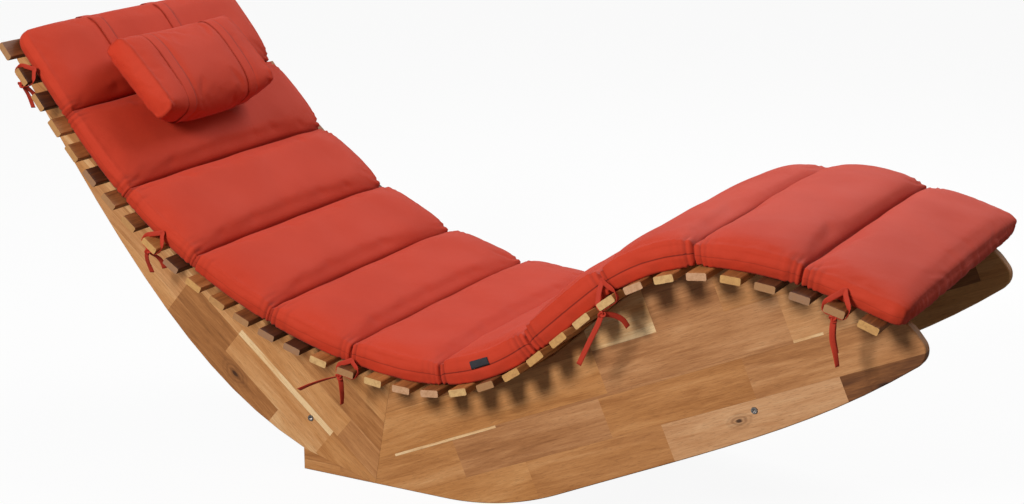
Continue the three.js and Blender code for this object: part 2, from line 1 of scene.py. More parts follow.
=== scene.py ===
import math
import random

import bmesh
import bpy
import numpy as np
from mathutils import Matrix, Vector
from mathutils.bvhtree import BVHTree


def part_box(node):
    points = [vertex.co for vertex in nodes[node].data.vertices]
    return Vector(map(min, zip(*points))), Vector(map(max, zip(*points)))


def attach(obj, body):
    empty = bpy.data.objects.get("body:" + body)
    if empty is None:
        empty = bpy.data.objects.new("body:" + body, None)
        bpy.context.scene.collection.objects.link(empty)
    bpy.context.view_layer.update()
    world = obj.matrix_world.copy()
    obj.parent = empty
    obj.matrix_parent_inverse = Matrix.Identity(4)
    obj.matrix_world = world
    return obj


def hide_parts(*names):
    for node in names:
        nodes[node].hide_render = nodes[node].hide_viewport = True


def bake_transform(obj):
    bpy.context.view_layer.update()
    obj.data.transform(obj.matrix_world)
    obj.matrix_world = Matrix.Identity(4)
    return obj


# Rocking chaise lounge: the looks of its boards, slats, cushion, pillow and ties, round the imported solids.
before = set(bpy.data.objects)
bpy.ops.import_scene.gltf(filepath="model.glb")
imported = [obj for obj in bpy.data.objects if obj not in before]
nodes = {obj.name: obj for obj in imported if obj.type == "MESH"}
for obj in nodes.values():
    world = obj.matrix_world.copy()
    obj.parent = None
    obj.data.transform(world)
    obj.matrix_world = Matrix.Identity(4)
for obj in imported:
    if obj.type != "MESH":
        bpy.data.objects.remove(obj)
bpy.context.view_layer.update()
mm = 0.001
print("frame loaded with", len(nodes), "nodes")


# camera at the photograph's viewing angle
photoCamera = {
    "place": (1.513548, -2.7315, 1.2001),
    "tilt": 74.606,
    "turn": 28.446,
    "lens": 70.498,
    "sensor": 36.0,
}


def addCamera(numbers):
    data = bpy.data.cameras.new("photoCamera")
    data.sensor_fit = "HORIZONTAL"
    data.sensor_width = numbers["sensor"]
    data.lens = numbers["lens"]
    eye = bpy.data.objects.new("photoCamera", data)
    eye.location = numbers["place"]
    eye.rotation_euler = (math.radians(numbers["tilt"]), 0, math.radians(numbers["turn"]))
    bpy.context.scene.collection.objects.link(eye)
    bpy.context.scene.camera = eye


addCamera(photoCamera)
print("camera placed")


# shader nodes: a Value is a number socket, and sums written on it add the Math nodes
class Value:
    def __init__(self, finish, socket):
        self.finish = finish
        self.socket = socket

    def sum(self, operation, first, second):
        return self.finish.node("Math", {"operation": operation}, {0: first, 1: second})

    def __add__(self, other):
        return self.sum("ADD", self, other)

    def __radd__(self, other):
        return self.sum("ADD", other, self)

    def __sub__(self, other):
        return self.sum("SUBTRACT", self, other)

    def __rsub__(self, other):
        return self.sum("SUBTRACT", other, self)

    def __mul__(self, other):
        return self.sum("MULTIPLY", self, other)

    def __rmul__(self, other):
        return self.sum("MULTIPLY", other, self)

    def __truediv__(self, other):
        return self.sum("DIVIDE", self, other)

    def __gt__(self, other):
        return self.sum("GREATER_THAN", self, other)

    def __lt__(self, other):
        return self.sum("LESS_THAN", self, other)


class Finish:
    def __init__(self, name, **fixed):
        self.material = bpy.data.materials.new(name)
        self.material.use_nodes = True
        self.tree = self.material.node_tree
        self.tree.nodes.clear()
        self.shader = self.tree.nodes.new("ShaderNodeBsdfPrincipled")
        output = self.tree.nodes.new("ShaderNodeOutputMaterial")
        self.tree.links.new(self.shader.outputs[0], output.inputs["Surface"])
        for label, number in fixed.items():
            self.shader.inputs[label.replace("_", " ")].default_value = number

    def node(self, kind, settings=None, inputs=None, output=0):
        made = self.tree.nodes.new("ShaderNode" + kind)
        for key, setting in (settings or {}).items():
            if key == "stops":
                self.setStops(made.color_ramp, setting)
            elif key == "interpolation" and kind == "ValToRGB":
                made.color_ramp.interpolation = setting
            else:
                setattr(made, key, setting)
        for key, given in (inputs or {}).items():
            self.feed(made.inputs[key], given)
        return Value(self, made.outputs[output])

    def setStops(self, ramp, stops):
        while len(ramp.elements) < len(stops):
            ramp.elements.new(1.0)
        for element, (place, color) in zip(ramp.elements, stops):
            element.position = place
            element.color = color

    def feed(self, socket, given):
        if isinstance(given, Value):
            self.tree.links.new(given.socket, socket)
        else:
            socket.default_value = given

    def give(self, label, given):
        self.feed(self.shader.inputs[label], given)

    def mix(self, share, first, second, blend="MIX"):
        settings = {"data_type": "RGBA", "blend_type": blend, "clamp_factor": True}
        return self.node("Mix", settings, {0: share, 6: first, 7: second}, 2)

    def smooth(self, value, low, high):
        settings = {"interpolation_type": "SMOOTHSTEP"}
        return self.node("MapRange", settings, {"Value": value, "From Min": low, "From Max": high})

    def noise(self, vector, scale, detail=3.0, roughness=0.5, distortion=0.0):
        inputs = {"Vector": vector, "Scale": scale, "Detail": detail, "Roughness": roughness, "Distortion": distortion}
        return self.node("TexNoise", {}, inputs)

    def parts(self, vector, order=(0, 1, 2)):
        split = self.tree.nodes.new("ShaderNodeSeparateXYZ")
        self.feed(split.inputs[0], vector)
        return [Value(self, split.outputs[k]) for k in order]

    def bump(self, height, strength, distance, under=None):
        inputs = {"Height": height, "Strength": strength, "Distance": distance}
        if under is not None:
            inputs["Normal"] = under
        return self.node("Bump", {}, inputs)


def paint(code):
    # colour of the shader from a written colour such as b07a42
    channels = [int(code[at:at + 2], 16) / 255 for at in (0, 2, 4)]
    return [c / 12.92 if c <= 0.04045 else ((c + 0.055) / 1.055) ** 2.4 for c in channels] + [1.0]


def grey(level):
    return (level, level, level, 1.0)


def finishNode(name, finish):
    data = nodes[name].data
    data.materials.clear()
    data.materials.append(finish.material)


# meshes: what is common to the new pieces
def pieceFrom(bm, name, finish, smooth=True):
    data = bpy.data.meshes.new(name)
    bm.to_mesh(data)
    bm.free()
    for face in data.polygons:
        face.use_smooth = smooth
    piece = bpy.data.objects.new(name, data)
    bpy.context.scene.collection.objects.link(piece)
    data.materials.append(finish.material)
    return piece


def points(piece):
    flat = np.empty(len(piece.data.vertices) * 3, np.float32)
    piece.data.vertices.foreach_get("co", flat)
    return flat.reshape(-1, 3).astype(float)


def place(piece, spots):
    piece.data.vertices.foreach_set("co", spots.astype(np.float32).ravel())
    piece.data.update()


def gridBox(cuts):
    # a cube of side 2 with each of its three directions cut into that many rows
    bm = bmesh.new()
    bmesh.ops.create_cube(bm, size=2.0)
    for axis, rows in enumerate(cuts):
        along = [e for e in bm.edges if abs(e.verts[0].co[axis] - e.verts[1].co[axis]) > 1e-4]
        bmesh.ops.subdivide_edges(bm, edges=along, cuts=rows - 1, use_grid_fill=True)
    return bm


def throughPoints(spots, steps, closed=False):
    # a smooth line through the given points
    spots = np.asarray(spots, float)
    count = len(spots)
    line = []
    spans = count if closed else count - 1
    for span in range(spans):
        if closed:
            four = [spots[(span + k) % count] for k in (-1, 0, 1, 2)]
        else:
            four = [spots[min(max(span + k, 0), count - 1)] for k in (-1, 0, 1, 2)]
            if span == 0:
                four[0] = 2 * spots[0] - spots[1]
            if span == count - 2:
                four[3] = 2 * spots[-1] - spots[-2]
        a, b, c, d = four
        for step in range(steps):
            t = step / steps
            line.append(0.5 * (2 * b + (c - a) * t + (2 * a - 5 * b + 4 * c - d) * t ** 2 + (3 * b - a - 3 * c + d) * t ** 3))
    if not closed:
        line.append(spots[-1])
    return np.array(line)


def tape(name, line, across, width, thickness, finish, closed=False):
    # a flat woven tape along a line; across gives the direction of its width at each point
    line = np.asarray(line, float)
    count = len(line)
    if closed:
        heading = np.roll(line, -1, axis=0) - np.roll(line, 1, axis=0)
    else:
        heading = np.gradient(line, axis=0)
    heading /= np.linalg.norm(heading, axis=1)[:, None]
    across = np.broadcast_to(np.asarray(across, float), line.shape).copy()
    across -= (across * heading).sum(1)[:, None] * heading
    across /= np.linalg.norm(across, axis=1)[:, None]
    up = np.cross(heading, across)
    corners = [(1.0, 0.0), (0.93, 0.75), (0.5, 1.0), (0, 1.0), (-0.5, 1.0), (-0.93, 0.75)]
    corners += [(-a, -b) for a, b in corners]
    bm = bmesh.new()
    girth = bm.loops.layers.uv.new("tapeMap")
    bmesh.ops.create_circle(bm, segments=len(corners), radius=1.0)
    bm.verts.ensure_lookup_table()
    ring = list(bm.verts)
    rings = []
    edges = list(bm.edges)
    for at in range(count):
        if at:
            made = bmesh.ops.extrude_edge_only(bm, edges=edges)["geom"]
            fresh = [v for v in made if isinstance(v, bmesh.types.BMVert)]
            edges = [e for e in made if isinstance(e, bmesh.types.BMEdge)]
            following = {}
            for vert in ring:
                for edge in vert.link_edges:
                    other = edge.other_vert(vert)
                    if other in fresh:
                        following[vert] = other
            ring = [following[vert] for vert in ring]
        for vert, (side, lift) in zip(ring, corners):
            vert.co = line[at] + across[at] * side * width / 2 + up[at] * lift * thickness / 2
        rings.append((list(ring), list(edges)))
    if closed:
        bmesh.ops.bridge_loops(bm, edges=rings[0][1] + rings[-1][1])
    else:
        bmesh.ops.holes_fill(bm, edges=bm.edges, sides=len(corners))
    steps = np.concatenate([[0], np.cumsum(np.linalg.norm(np.diff(line, axis=0), axis=1))])
    places = {vert: (steps[at], corners[k][0] * width / 2) for at, (row, _) in enumerate(rings) for k, vert in enumerate(row)}
    for face in bm.faces:
        for loop in face.loops:
            loop[girth].uv = places[loop.vert]
    bmesh.ops.recalc_face_normals(bm, faces=bm.faces)
    return pieceFrom(bm, name, finish)


# cloth of the cushion, the pillow, the straps and the ties
clothColors = {
    "base": "c83b20",
    "deep": "b9321a",
    "light": "ce452a",
    "thread": "8a2412",
    "tie": "b63420",
}


def clothFinish(name, mapName, tone, sideSeamAt=0.0, edge=0.0125):
    finish = Finish(name, Sheen_Weight=0.03, Sheen_Roughness=0.4, Specular_IOR_Level=0.26)
    place3 = finish.node("TexCoord", {}, {}, 3)
    cloud = finish.noise(place3, 9.0, 4.0, 0.55)
    fade = finish.noise(place3, 2.3, 2.0, 0.5)
    color = finish.mix(finish.smooth(cloud, 0.35, 0.7) * 0.35, paint(tone), paint(clothColors["deep"]))
    color = finish.mix(finish.smooth(fade, 0.4, 0.75) * 0.3, color, paint(clothColors["light"]))
    uv = finish.node("UVMap", {"uv_map": mapName}, {})
    along, girth = finish.parts(uv)[:2]
    pitch = 0.0011
    warp = finish.node("Math", {"operation": "SINE"}, {0: along * (2 * math.pi / pitch)})
    weft = finish.node("Math", {"operation": "SINE"}, {0: girth * (2 * math.pi / pitch)})
    weave = warp * weft
    slub = finish.noise(place3, 420.0, 2.0, 0.6)
    color = finish.mix((weave * 0.5 + 0.5) * 0.12, color, paint(clothColors["thread"]))
    color = finish.mix(finish.smooth(slub, 0.45, 0.8) * 0.15, color, paint(clothColors["light"]))
    normal = finish.bump(weave * 0.6 + slub, 0.25, 0.0004)
    crease = finish.noise(place3, 34.0, 3.0, 0.55, 0.4)
    normal = finish.bump(crease, 0.16, 0.004, normal)
    if sideSeamAt:
        # painted shade: darker along each channel seam, in its valley over the stitching, and in the creases of the
        # gathers
        stitch = finish.node("Attribute", {"attribute_name": "stitch"}, {}, 2)
        closing = finish.node("Attribute", {"attribute_name": "closing"}, {}, 2)
        # a darker line along the middle of each side: its seam's stitching, darkened further as painted shade in the
        # groove, strongest on the middle pads
        fromLine = finish.node("Math", {"operation": "ABSOLUTE"}, {0: finish.node("Math", {"operation": "ABSOLUTE"}, {0: girth}) - sideSeamAt})
        line = (1 - finish.smooth(fromLine, 0.0004, 0.0013)) * closing
        color = finish.mix(stitch * 0.6 + line * 0.7, color, paint("5e140a"))
        normal = finish.bump(stitch + line, -0.7, 0.0012, normal)
    elif edge > 0.01:
        # a dark row of stitches along both edges of the strap, and painted shade right at each edge
        fromMiddle = finish.node("Math", {"operation": "ABSOLUTE"}, {0: girth})
        rows = finish.smooth(fromMiddle, edge - 0.0032, edge - 0.0026) * (1 - finish.smooth(fromMiddle, edge - 0.0020, edge - 0.0014))
        rim = finish.smooth(fromMiddle, edge - 0.0009, edge - 0.0002)
        dashes = finish.node("Math", {"operation": "SINE"}, {0: along * 2100.0}) * 0.3 + 0.7
        color = finish.mix(rows * dashes * 0.75 + rim * 0.75, color, paint("5e140a"))
        normal = finish.bump(rows * dashes, -0.6, 0.0006, normal)
    finish.give("Base Color", color)
    finish.give("Roughness", 0.68 + 0.16 * cloud)
    finish.give("Normal", normal)
    return finish


cushionCloth = clothFinish("cushionCloth", "clothMap", clothColors["base"], 0.2965)
tieCloth = clothFinish("tieCloth", "tapeMap", clothColors["tie"], 0.0, 0.0045)
strapCloth = clothFinish("strapCloth", "tapeMap", clothColors["base"])


# bed line through the slats' middles, worked out from the frame
bed = {"pitch": 0.050, "slatTop": 0.0055, "headReach": 0.016, "footReach": 0.036, "padMiddle": 0.045, "lift": 0.0009}
slatNames = ["slat_%02d" % number for number in range(1, 36)]
slatMiddles = np.array([[(a + b) / 2 for a, b in zip(*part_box(name))] for name in slatNames])[:, [0, 2]]
slatHeadings = np.gradient(slatMiddles, axis=0)


def bedLine(distance):
    # x, z and the unit heading at distances from the head slat
    at = np.asarray(distance, float) / bed["pitch"]
    index = np.clip(np.floor(at).astype(int), 0, len(slatNames) - 2)
    t = at - index
    inside = np.clip(t, 0, 1)[..., None]
    past = (t - np.clip(t, 0, 1))[..., None]
    a, b = slatMiddles[index], slatMiddles[index + 1]
    m, n = slatHeadings[index], slatHeadings[index + 1]
    t2, t3 = inside ** 2, inside ** 3
    spot = a * (2 * t3 - 3 * t2 + 1) + m * (t3 - 2 * t2 + inside) + b * (3 * t2 - 2 * t3) + n * (t3 - t2)
    heading = a * (6 * t2 - 6 * inside) + m * (3 * t2 - 4 * inside + 1) + b * (6 * inside - 6 * t2) + n * (3 * t2 - 2 * inside)
    spot = spot + past * heading
    heading = heading / np.linalg.norm(heading, axis=-1)[..., None]
    return spot, heading


def bedTurn(distance):
    _, heading = bedLine(distance)
    return np.unwrap(np.arctan2(heading[..., 1], heading[..., 0]))


bedSteps = np.arange(-0.08, 1.84, 0.002)
bedTurns = bedTurn(bedSteps)
bedTurns -= np.interp(0.0, bedSteps, bedTurns)
middleLengths = bedSteps + bed["headReach"] - bed["padMiddle"] * bedTurns
cushionLength = float(np.interp(0.05 * 34 + bed["footReach"], bedSteps, middleLengths))


def onBed(along, across, height):
    # from the flat cushion, along its middle and above the slats, to its place on the bed
    distance = np.interp(along, middleLengths, bedSteps)
    past = along - np.clip(along, middleLengths[0], middleLengths[-1])
    spot, heading = bedLine(distance + past)
    rise = (height + bed["slatTop"] + bed["lift"])[..., None]
    normal = np.stack([-heading[..., 1], heading[..., 0]], -1)
    spot = spot + normal * rise
    return np.stack([spot[..., 0], across, spot[..., 1]], -1)


# tie tapes on the near side: the tails first, since they are free cords
ties = {
    "slats": (2, 9, 17, 27, 34),
    "across": 0.299,
    "lean": 0.4,
    "width": 0.008,
    "thickness": 0.0012,
    "knotAhead": (-0.0075, -0.0015, 0.0105, 0.0165, -0.0015),
    "knotDown": 0.0103,
    "apex": (0.5, 0.66, 0.4, 0.9, 0.75),
    # where each tie's two tails run from its knot, in millimetres: along the lounge, outwards and up
    "tails": (
        (
            ((0, 0, 0), (-2, -8, -9), (-3, -16, -19), (-4, -23, -31), (-4, -28, -44)),
            ((0, 0, 0), (4, -9, -8), (6, -18, -17), (7, -26, -28), (8, -31, -40)),
        ),
        (
            ((0, 0, 0), (-6, -3, -9), (-10, -9, -20), (-12, -16, -31), (-12, -22, -43)),
            ((0, 0, 0), (2, -9, -8), (3, -19, -15), (4, -28, -25), (4, -34, -37)),
        ),
        (
            ((0, 0, 0), (-18, 1, -6), (-37, 2, -14), (-56, 3, -23), (-74, 3, -33)),
            ((0, 0, 0), (0, -3, -12), (-1, -6, -25), (-3, -10, -37), (-5, -12, -50)),
        ),
        (
            ((0, 0, 0), (-7, 1, -19), (-17, 1, -40), (-27, 0, -61), (-36, 0, -81)),
            ((0, 0, 0), (7, -8, -2), (14, -17, -6), (21, -25, -13), (26, -31, -24)),
        ),
        (
            ((0, 0, 0), (-1, 1, -15), (0, 1, -31), (5, 2, -48), (9, 3, -65)),
            ((0, 0, 0), (-1, -3, -13), (-2, -6, -26), (-1, -9, -39), (1, -12, -52)),
        ),
    ),
    # how far each tail's flat side faces outwards, at its knot and at its end
    "facing": (((0.9, 0.8), (0.8, 0.6)), ((0.9, 0.8), (0.8, 0.6)), ((0.25, 0.45), (0.6, 0.1)),
               ((0.95, 1.0), (0.7, 0.4)), ((0.95, 0.3), (0.8, 0.6))),
    # the loop round the slat, from the cushion's seam: along, up, and how far the tape faces outwards
    "loop": ((0, 33, 1), (-3.5, 27, 1), (-9, 19, 1), (-14, 11, 0.9), (-17.2, 4, 0.45), (-16.6, -4, 0), (-11, -7.2, 0), (0, -6.9, 0),
             (11, -7.2, 0), (16.6, -4, 0), (17.2, 4, 0.45), (14, 11, 0.9), (9, 19, 1), (3.5, 27, 1)),
}


def slatFrame(number):
    middle = slatMiddles[number - 1]
    _, heading = bedLine((number - 1) * bed["pitch"])
    return middle, heading


def besideSlat(number, numbers, side, along, up):
    # a point of the tape round a slat's end, in the slat's own directions; it leans back to the cushion
    middle, heading = slatFrame(number)
    spot = middle + heading * along + np.array([-heading[1], heading[0]]) * up
    across = max(numbers["across"] - numbers["lean"] * up - max(0, up - 0.018) * 0.35, 0.2795)
    return np.array([spot[0], side * across, spot[1]])


def facingOut(line, facing, closed=False):
    # direction of a tape's width: across the lounge where facing is 0, in the side view where it is 1
    heading = np.roll(line, -1, axis=0) - np.roll(line, 1, axis=0) if closed else np.gradient(line, axis=0)
    heading /= np.linalg.norm(heading, axis=1)[:, None]
    level = np.array([0.0, 1.0, 0.0])
    inView = np.cross(heading, level)
    inView /= np.maximum(np.linalg.norm(inView, axis=1), 1e-6)[:, None]
    facing = np.asarray(facing)[:, None]
    return level * (1 - facing) + inView * facing


def addTies(numbers, side):
    label = "near" if side < 0 else "far"
    for at, number in enumerate(numbers["slats"]):
        reach = [u if u < 5 else 5 + (u - 5) * numbers["apex"][at] for _, u, _ in numbers["loop"]]
        spots = [besideSlat(number, numbers, side, a * mm, u * mm) for (a, _, _), u in zip(numbers["loop"], reach)]
        line = throughPoints(spots, 5, True)
        turned = np.repeat([f for _, _, f in numbers["loop"]], 5)
        turned = (turned + np.roll(turned, -2) + np.roll(turned, 2)) / 3
        loop = tape(f"tie_loop_{label}_{at + 1}", line, facingOut(line, turned, True), numbers["width"], numbers["thickness"], tieCloth, True)
        knotSpot = besideSlat(number, numbers, side, -numbers["knotAhead"][at], -numbers["knotDown"])
        turns = np.linspace(0, 2 * math.pi, 44, endpoint=False)
        rope = np.stack([
            np.sin(turns) + 2 * np.sin(2 * turns),
            -1.3 * np.sin(3 * turns),
            np.cos(turns) - 2 * np.cos(2 * turns),
        ], -1) * 0.0015
        knotLine = knotSpot + rope @ np.array(Matrix.Rotation(0.5 + at, 3, "Y"))
        knot = tape(f"tie_knot_{label}_{at + 1}", knotLine, facingOut(knotLine, np.full(44, 0.35), True), 0.0056, 0.0024, tieCloth, True)
        for piece in (loop, knot):
            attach(piece, "root")
        if side > 0:
            continue
        for end, route in enumerate(numbers["tails"][at]):
            path = throughPoints([knotSpot + np.array([a, side * o, u]) * mm for a, o, u in route], 6)
            length = float(np.linalg.norm(np.diff(path, axis=0), axis=1).sum())
            start, stop = numbers["facing"][at][end]
            flat = facingOut(path, np.linspace(start, stop, len(path)))
            tail = tape(f"tie_tail_{at + 1}_{end + 1}", path, flat, numbers["width"], numbers["thickness"], tieCloth)
            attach(tail, "root")
        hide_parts(f"cushion_tie_{at + 1}")


addTies(ties, -1)
addTies(ties, 1)
print("ties tied on")


# floor, light and background
studio = {
    "floorSize": 40.0,
    "floorTone": 0.14,
    "keyPlace": (-0.36, -3.96, 2.46),
    "keySize": 0.95,
    "keyPower": 162.0,
    "topPlace": (0.25, 1.9, 2.5),
    "topSize": 1.6,
    "topPower": 50.0,
    "worldLevel": 0.17,
}


def showWhite(tree, shader, output):
    # the camera and reflections see plain white; the object's shadow stays on the floor
    paths = tree.nodes.new("ShaderNodeLightPath")
    seen = tree.nodes.new("ShaderNodeMath")
    seen.operation = "MAXIMUM"
    tree.links.new(paths.outputs["Is Camera Ray"], seen.inputs[0])
    tree.links.new(paths.outputs["Is Glossy Ray"], seen.inputs[1])
    mixed = tree.nodes.new("ShaderNodeMixShader")
    white = tree.nodes.new("ShaderNodeBackground")
    tree.links.new(seen.outputs[0], mixed.inputs[0])
    tree.links.new(shader.outputs[0], mixed.inputs[1])
    tree.links.new(white.outputs[0], mixed.inputs[2])
    tree.links.new(mixed.outputs[0], output)
    return white


def addStudio(numbers):
    world = bpy.data.worlds.new("studioWorld")
    bpy.context.scene.world = world
    world.use_nodes = True
    tree = world.node_tree
    tree.nodes.clear()
    soft = tree.nodes.new("ShaderNodeBackground")
    soft.inputs["Color"].default_value = (1.0, 0.985, 0.96, 1.0)
    soft.inputs["Strength"].default_value = numbers["worldLevel"]
    output = tree.nodes.new("ShaderNodeOutputWorld")
    white = showWhite(tree, soft, output.inputs["Surface"])
    white.inputs["Color"].default_value = (1.0, 1.0, 1.0, 1.0)
    white.inputs["Strength"].default_value = 1.0

    for label in ("key", "top"):
        data = bpy.data.lights.new(label + "Light", "AREA")
        data.size = numbers[label + "Size"]
        data.energy = numbers[label + "Power"]
        lamp = bpy.data.objects.new(label + "Light", data)
        lamp.location = numbers[label + "Place"]
        aim = Vector((0.0, 0.0, 0.3)) - lamp.location
        lamp.rotation_mode = "QUATERNION"
        lamp.rotation_quaternion = aim.to_track_quat("-Z", "Y")
        bpy.context.scene.collection.objects.link(lamp)

    floor = Finish("floorPaint", Roughness=0.9)
    seenByCamera = floor.node("LightPath")
    floor.give("Base Color", floor.mix(seenByCamera, grey(numbers["floorTone"]), grey(0.92)))
    bm = bmesh.new()
    bmesh.ops.create_grid(bm, x_segments=1, y_segments=1, size=numbers["floorSize"] / 2)
    bmesh.ops.translate(bm, verts=bm.verts, vec=(0, 0, -0.0005))
    ground = pieceFrom(bm, "studioFloor", floor, False)
    tree = floor.tree
    emit = tree.nodes.new("ShaderNodeEmission")
    paths = tree.nodes.new("ShaderNodeLightPath")
    mixed = tree.nodes.new("ShaderNodeMixShader")
    share = tree.nodes.new("ShaderNodeMath")
    share.operation = "MULTIPLY"
    share.inputs[1].default_value = 0.93
    tree.links.new(paths.outputs["Is Camera Ray"], share.inputs[0])
    tree.links.new(share.outputs[0], mixed.inputs[0])
    tree.links.new(floor.shader.outputs[0], mixed.inputs[1])
    tree.links.new(emit.outputs[0], mixed.inputs[2])
    output = next(n for n in tree.nodes if n.type == "OUTPUT_MATERIAL")
    tree.links.new(mixed.outputs[0], output.inputs["Surface"])
    bpy.context.scene.view_settings.view_transform = "Standard"


addStudio(studio)
print("studio lit")


# wood: lamellae glued side by side, each with its own tone, warmth and grain
woodTones = {
    "golden": ((0.0, "3e200c"), (0.15, "623819"), (0.3, "865228"), (0.45, "a66a36"),
               (0.6, "be8046"), (0.75, "d09458"), (0.9, "e2b076"), (1.0, "eec892")),
    "rosy": ((0.0, "462818"), (0.15, "6c442c"), (0.3, "906040"), (0.45, "ac7852"),
             (0.6, "c28e66"), (0.75, "d2a27a"), (0.9, "e0b892"), (1.0, "eccca8")),
}


def grainPlace(finish, turn, shift):
    # coordinates along the grain, across it and through the board
    spot = finish.node("TexCoord", {}, {}, 3)
    turned = finish.node("Mapping", {"vector_type": "TEXTURE"}, {"Vector": spot, "Location": shift, "Rotation": (0, -turn, 0)})
    return finish.parts(turned, (0, 2, 1))


def grainFigure(finish, along, across, through, seed):
    # bands, streaks, lines and pores of one lamella; its seed moves them, so no two show the same
    spread = finish.node("CombineXYZ", {}, {0: along + seed * 7.0, 1: across + seed * 13.0, 2: through + seed * 3.0})
    figure = {}
    for label, size, detail, roughness, distortion in (
        ("bands", (2.6, 22.0, 22.0), 2.0, 0.5, 1.2),
        ("streaks", (7.0, 90.0, 90.0), 4.0, 0.62, 1.1),
        ("lines", (26.0, 420.0, 420.0), 3.0, 0.6, 0.5),
        ("pores", (90.0, 1700.0, 1700.0), 2.0, 0.5, 0.0),
    ):
        stretched = finish.node("VectorMath", {"operation": "MULTIPLY"}, {0: spread, 1: size})
        figure[label] = finish.noise(stretched, 1.0, detail, roughness, distortion)
    return figure


def dressWood(finish, tone, warmth, figure):
    level = tone + (figure["bands"] - 0.5) * 0.5 + (figure["streaks"] - 0.5) * 0.42 + (figure["lines"] - 0.5) * 0.3
    shades = []
    for label in ("golden", "rosy"):
        stops = [(place, paint(code)) for place, code in woodTones[label]]
        shades.append(finish.node("ValToRGB", {"stops": stops}, {0: level}))
    color = finish.mix(warmth * 0.6 + (figure["bands"] - 0.5) * 0.4, shades[0], shades[1])
    return finish.mix(finish.smooth(figure["pores"], 0.56, 0.7) * 0.38, color, paint("5a3218"))


def boardFinish(name, turn, rows, knots=(), shift=(0, 0, 0)):
    finish = Finish(name, Specular_IOR_Level=0.35)
    along, across, through = grainPlace(finish, turn, shift)
    looks, seam = None, None
    reach = 1.2
    for row, (low, high, cuts) in enumerate(rows):
        stops = []
        for order, (start, level, warmth) in enumerate(cuts):
            place = max(0.0, (start + reach) / (2 * reach))
            stops.append((place, (level, warmth, (row * 0.37 + order * 0.23) % 1.0, 1.0)))
        ramp = finish.node("ValToRGB", {"stops": stops, "interpolation": "CONSTANT"}, {0: (along + reach) / (2 * reach)})
        inRow = (across > low) * (across < high)
        kept = finish.node("VectorMath", {"operation": "SCALE"}, {0: ramp, 3: inRow})
        looks = kept if looks is None else finish.node("VectorMath", {"operation": "ADD"}, {0: looks, 1: kept})
        line = finish.node("Math", {"operation": "ABSOLUTE"}, {0: across - low}) < 0.0004
        seam = line if seam is None else seam + line
    tone, warmth, seed = finish.parts(looks)
    figure = grainFigure(finish, along, across, through, seed)
    color = dressWood(finish, tone, warmth, figure)
    for spotAlong, spotAcross, size in knots:
        spot = finish.node("CombineXYZ", {}, {0: (along - spotAlong) * 0.55, 1: across - spotAcross})
        away = finish.node("VectorMath", {"operation": "LENGTH"}, {0: spot}, 1) + (figure["streaks"] - 0.5) * 0.008
        rings = finish.node("Math", {"operation": "SINE"}, {0: away * 1300.0})
        dark = 1 - finish.smooth(away, size * 0.4, size)
        ringed = (1 - finish.smooth(away, size * 0.8, size * 4.0)) * (rings * 0.2 + 0.35)
        color = finish.mix(ringed, color, paint("5f3519"))
        color = finish.mix(dark * 0.85, color, paint("2e180c"))
    color = finish.mix(seam * 0.16, color, paint("3c2010"))
    finish.give("Base Color", color)
    finish.give("Roughness", 0.42 + 0.25 * figure["lines"])
    finish.give("Normal", finish.bump(figure["pores"] * 0.5 + figure["lines"], 0.12, 0.0006))
    return finish


def scatteredRows(seed, low, high, width, shortest, longest, levels):
    # rows of lamellae with butt joints staggered by chance, for the faces that the photograph doesn't show
    chance = random.Random(seed)
    rows = []
    at = low
    while at < high:
        cuts = [(-1.2, chance.choice(levels), chance.random() ** 2)]
        start = -0.95 + chance.uniform(0, longest)
        while start < 0.95:
            cuts.append((start, chance.choice(levels), chance.random() ** 2))
            start += chance.uniform(shortest, longest)
        rows.append((at, at + width, cuts[:30]))
        at += width
    return rows


boards = {
    "frontTurn": math.radians(23.8),
    "backTurn": math.radians(-40.0),
    "heelTurn": math.radians(-1.0),
    "frontWidth": 0.066,
    "backWidth": 0.043,
    "levels": (0.42, 0.55, 0.62, 0.68, 0.74, 0.5, 0.6, 0.34),
}
# lamellae of the near boards: rows across the grain, and where each lamella starts, its tone and its warmth
frontRows = [
    (-0.189, -0.123, [(-1.2, 0.60, 0.3), (0.05, 0.5, 0.2), (0.36, 0.66, 0.3)]),
    (-0.123, -0.057, [(-1.2, 0.62, 0.2), (0.11, 0.53, 0.5), (0.33, 0.64, 0.2), (0.62, 0.42, 0.2)]),
    (-0.057, 0.009, [(-1.2, 0.60, 0.1), (0.188, 0.6, 0.3), (0.434, 0.66, 0.9), (0.729, 0.26, 0.2)]),
    (0.009, 0.071, [(-1.2, 0.58, 0.2), (0.081, 0.52, 0.7), (0.349, 0.57, 0.2), (0.598, 0.55, 0.5)]),
    (0.071, 0.075, [(-1.2, 0.58, 0.2), (-0.029, 0.98, 0.3), (0.160, 0.52, 0.7), (0.681, 0.94, 0.3), (0.73, 0.6, 0.4)]),
    (0.075, 0.141, [(-1.2, 0.60, 0.1), (0.375, 0.55, 0.7), (0.681, 0.68, 0.5)]),
    (0.141, 0.207, [(-1.2, 0.52, 0.2), (0.20, 0.6, 0.3), (0.375, 0.86, 0.1), (0.487, 0.5, 0.6), (0.60, 0.6, 0.3)]),
    (0.207, 0.273, [(-1.2, 0.46, 0.2), (0.28, 0.56, 0.3), (0.52, 0.42, 0.2)]),
    (0.273, 0.40, [(-1.2, 0.54, 0.2), (0.33, 0.46, 0.2)]),
]
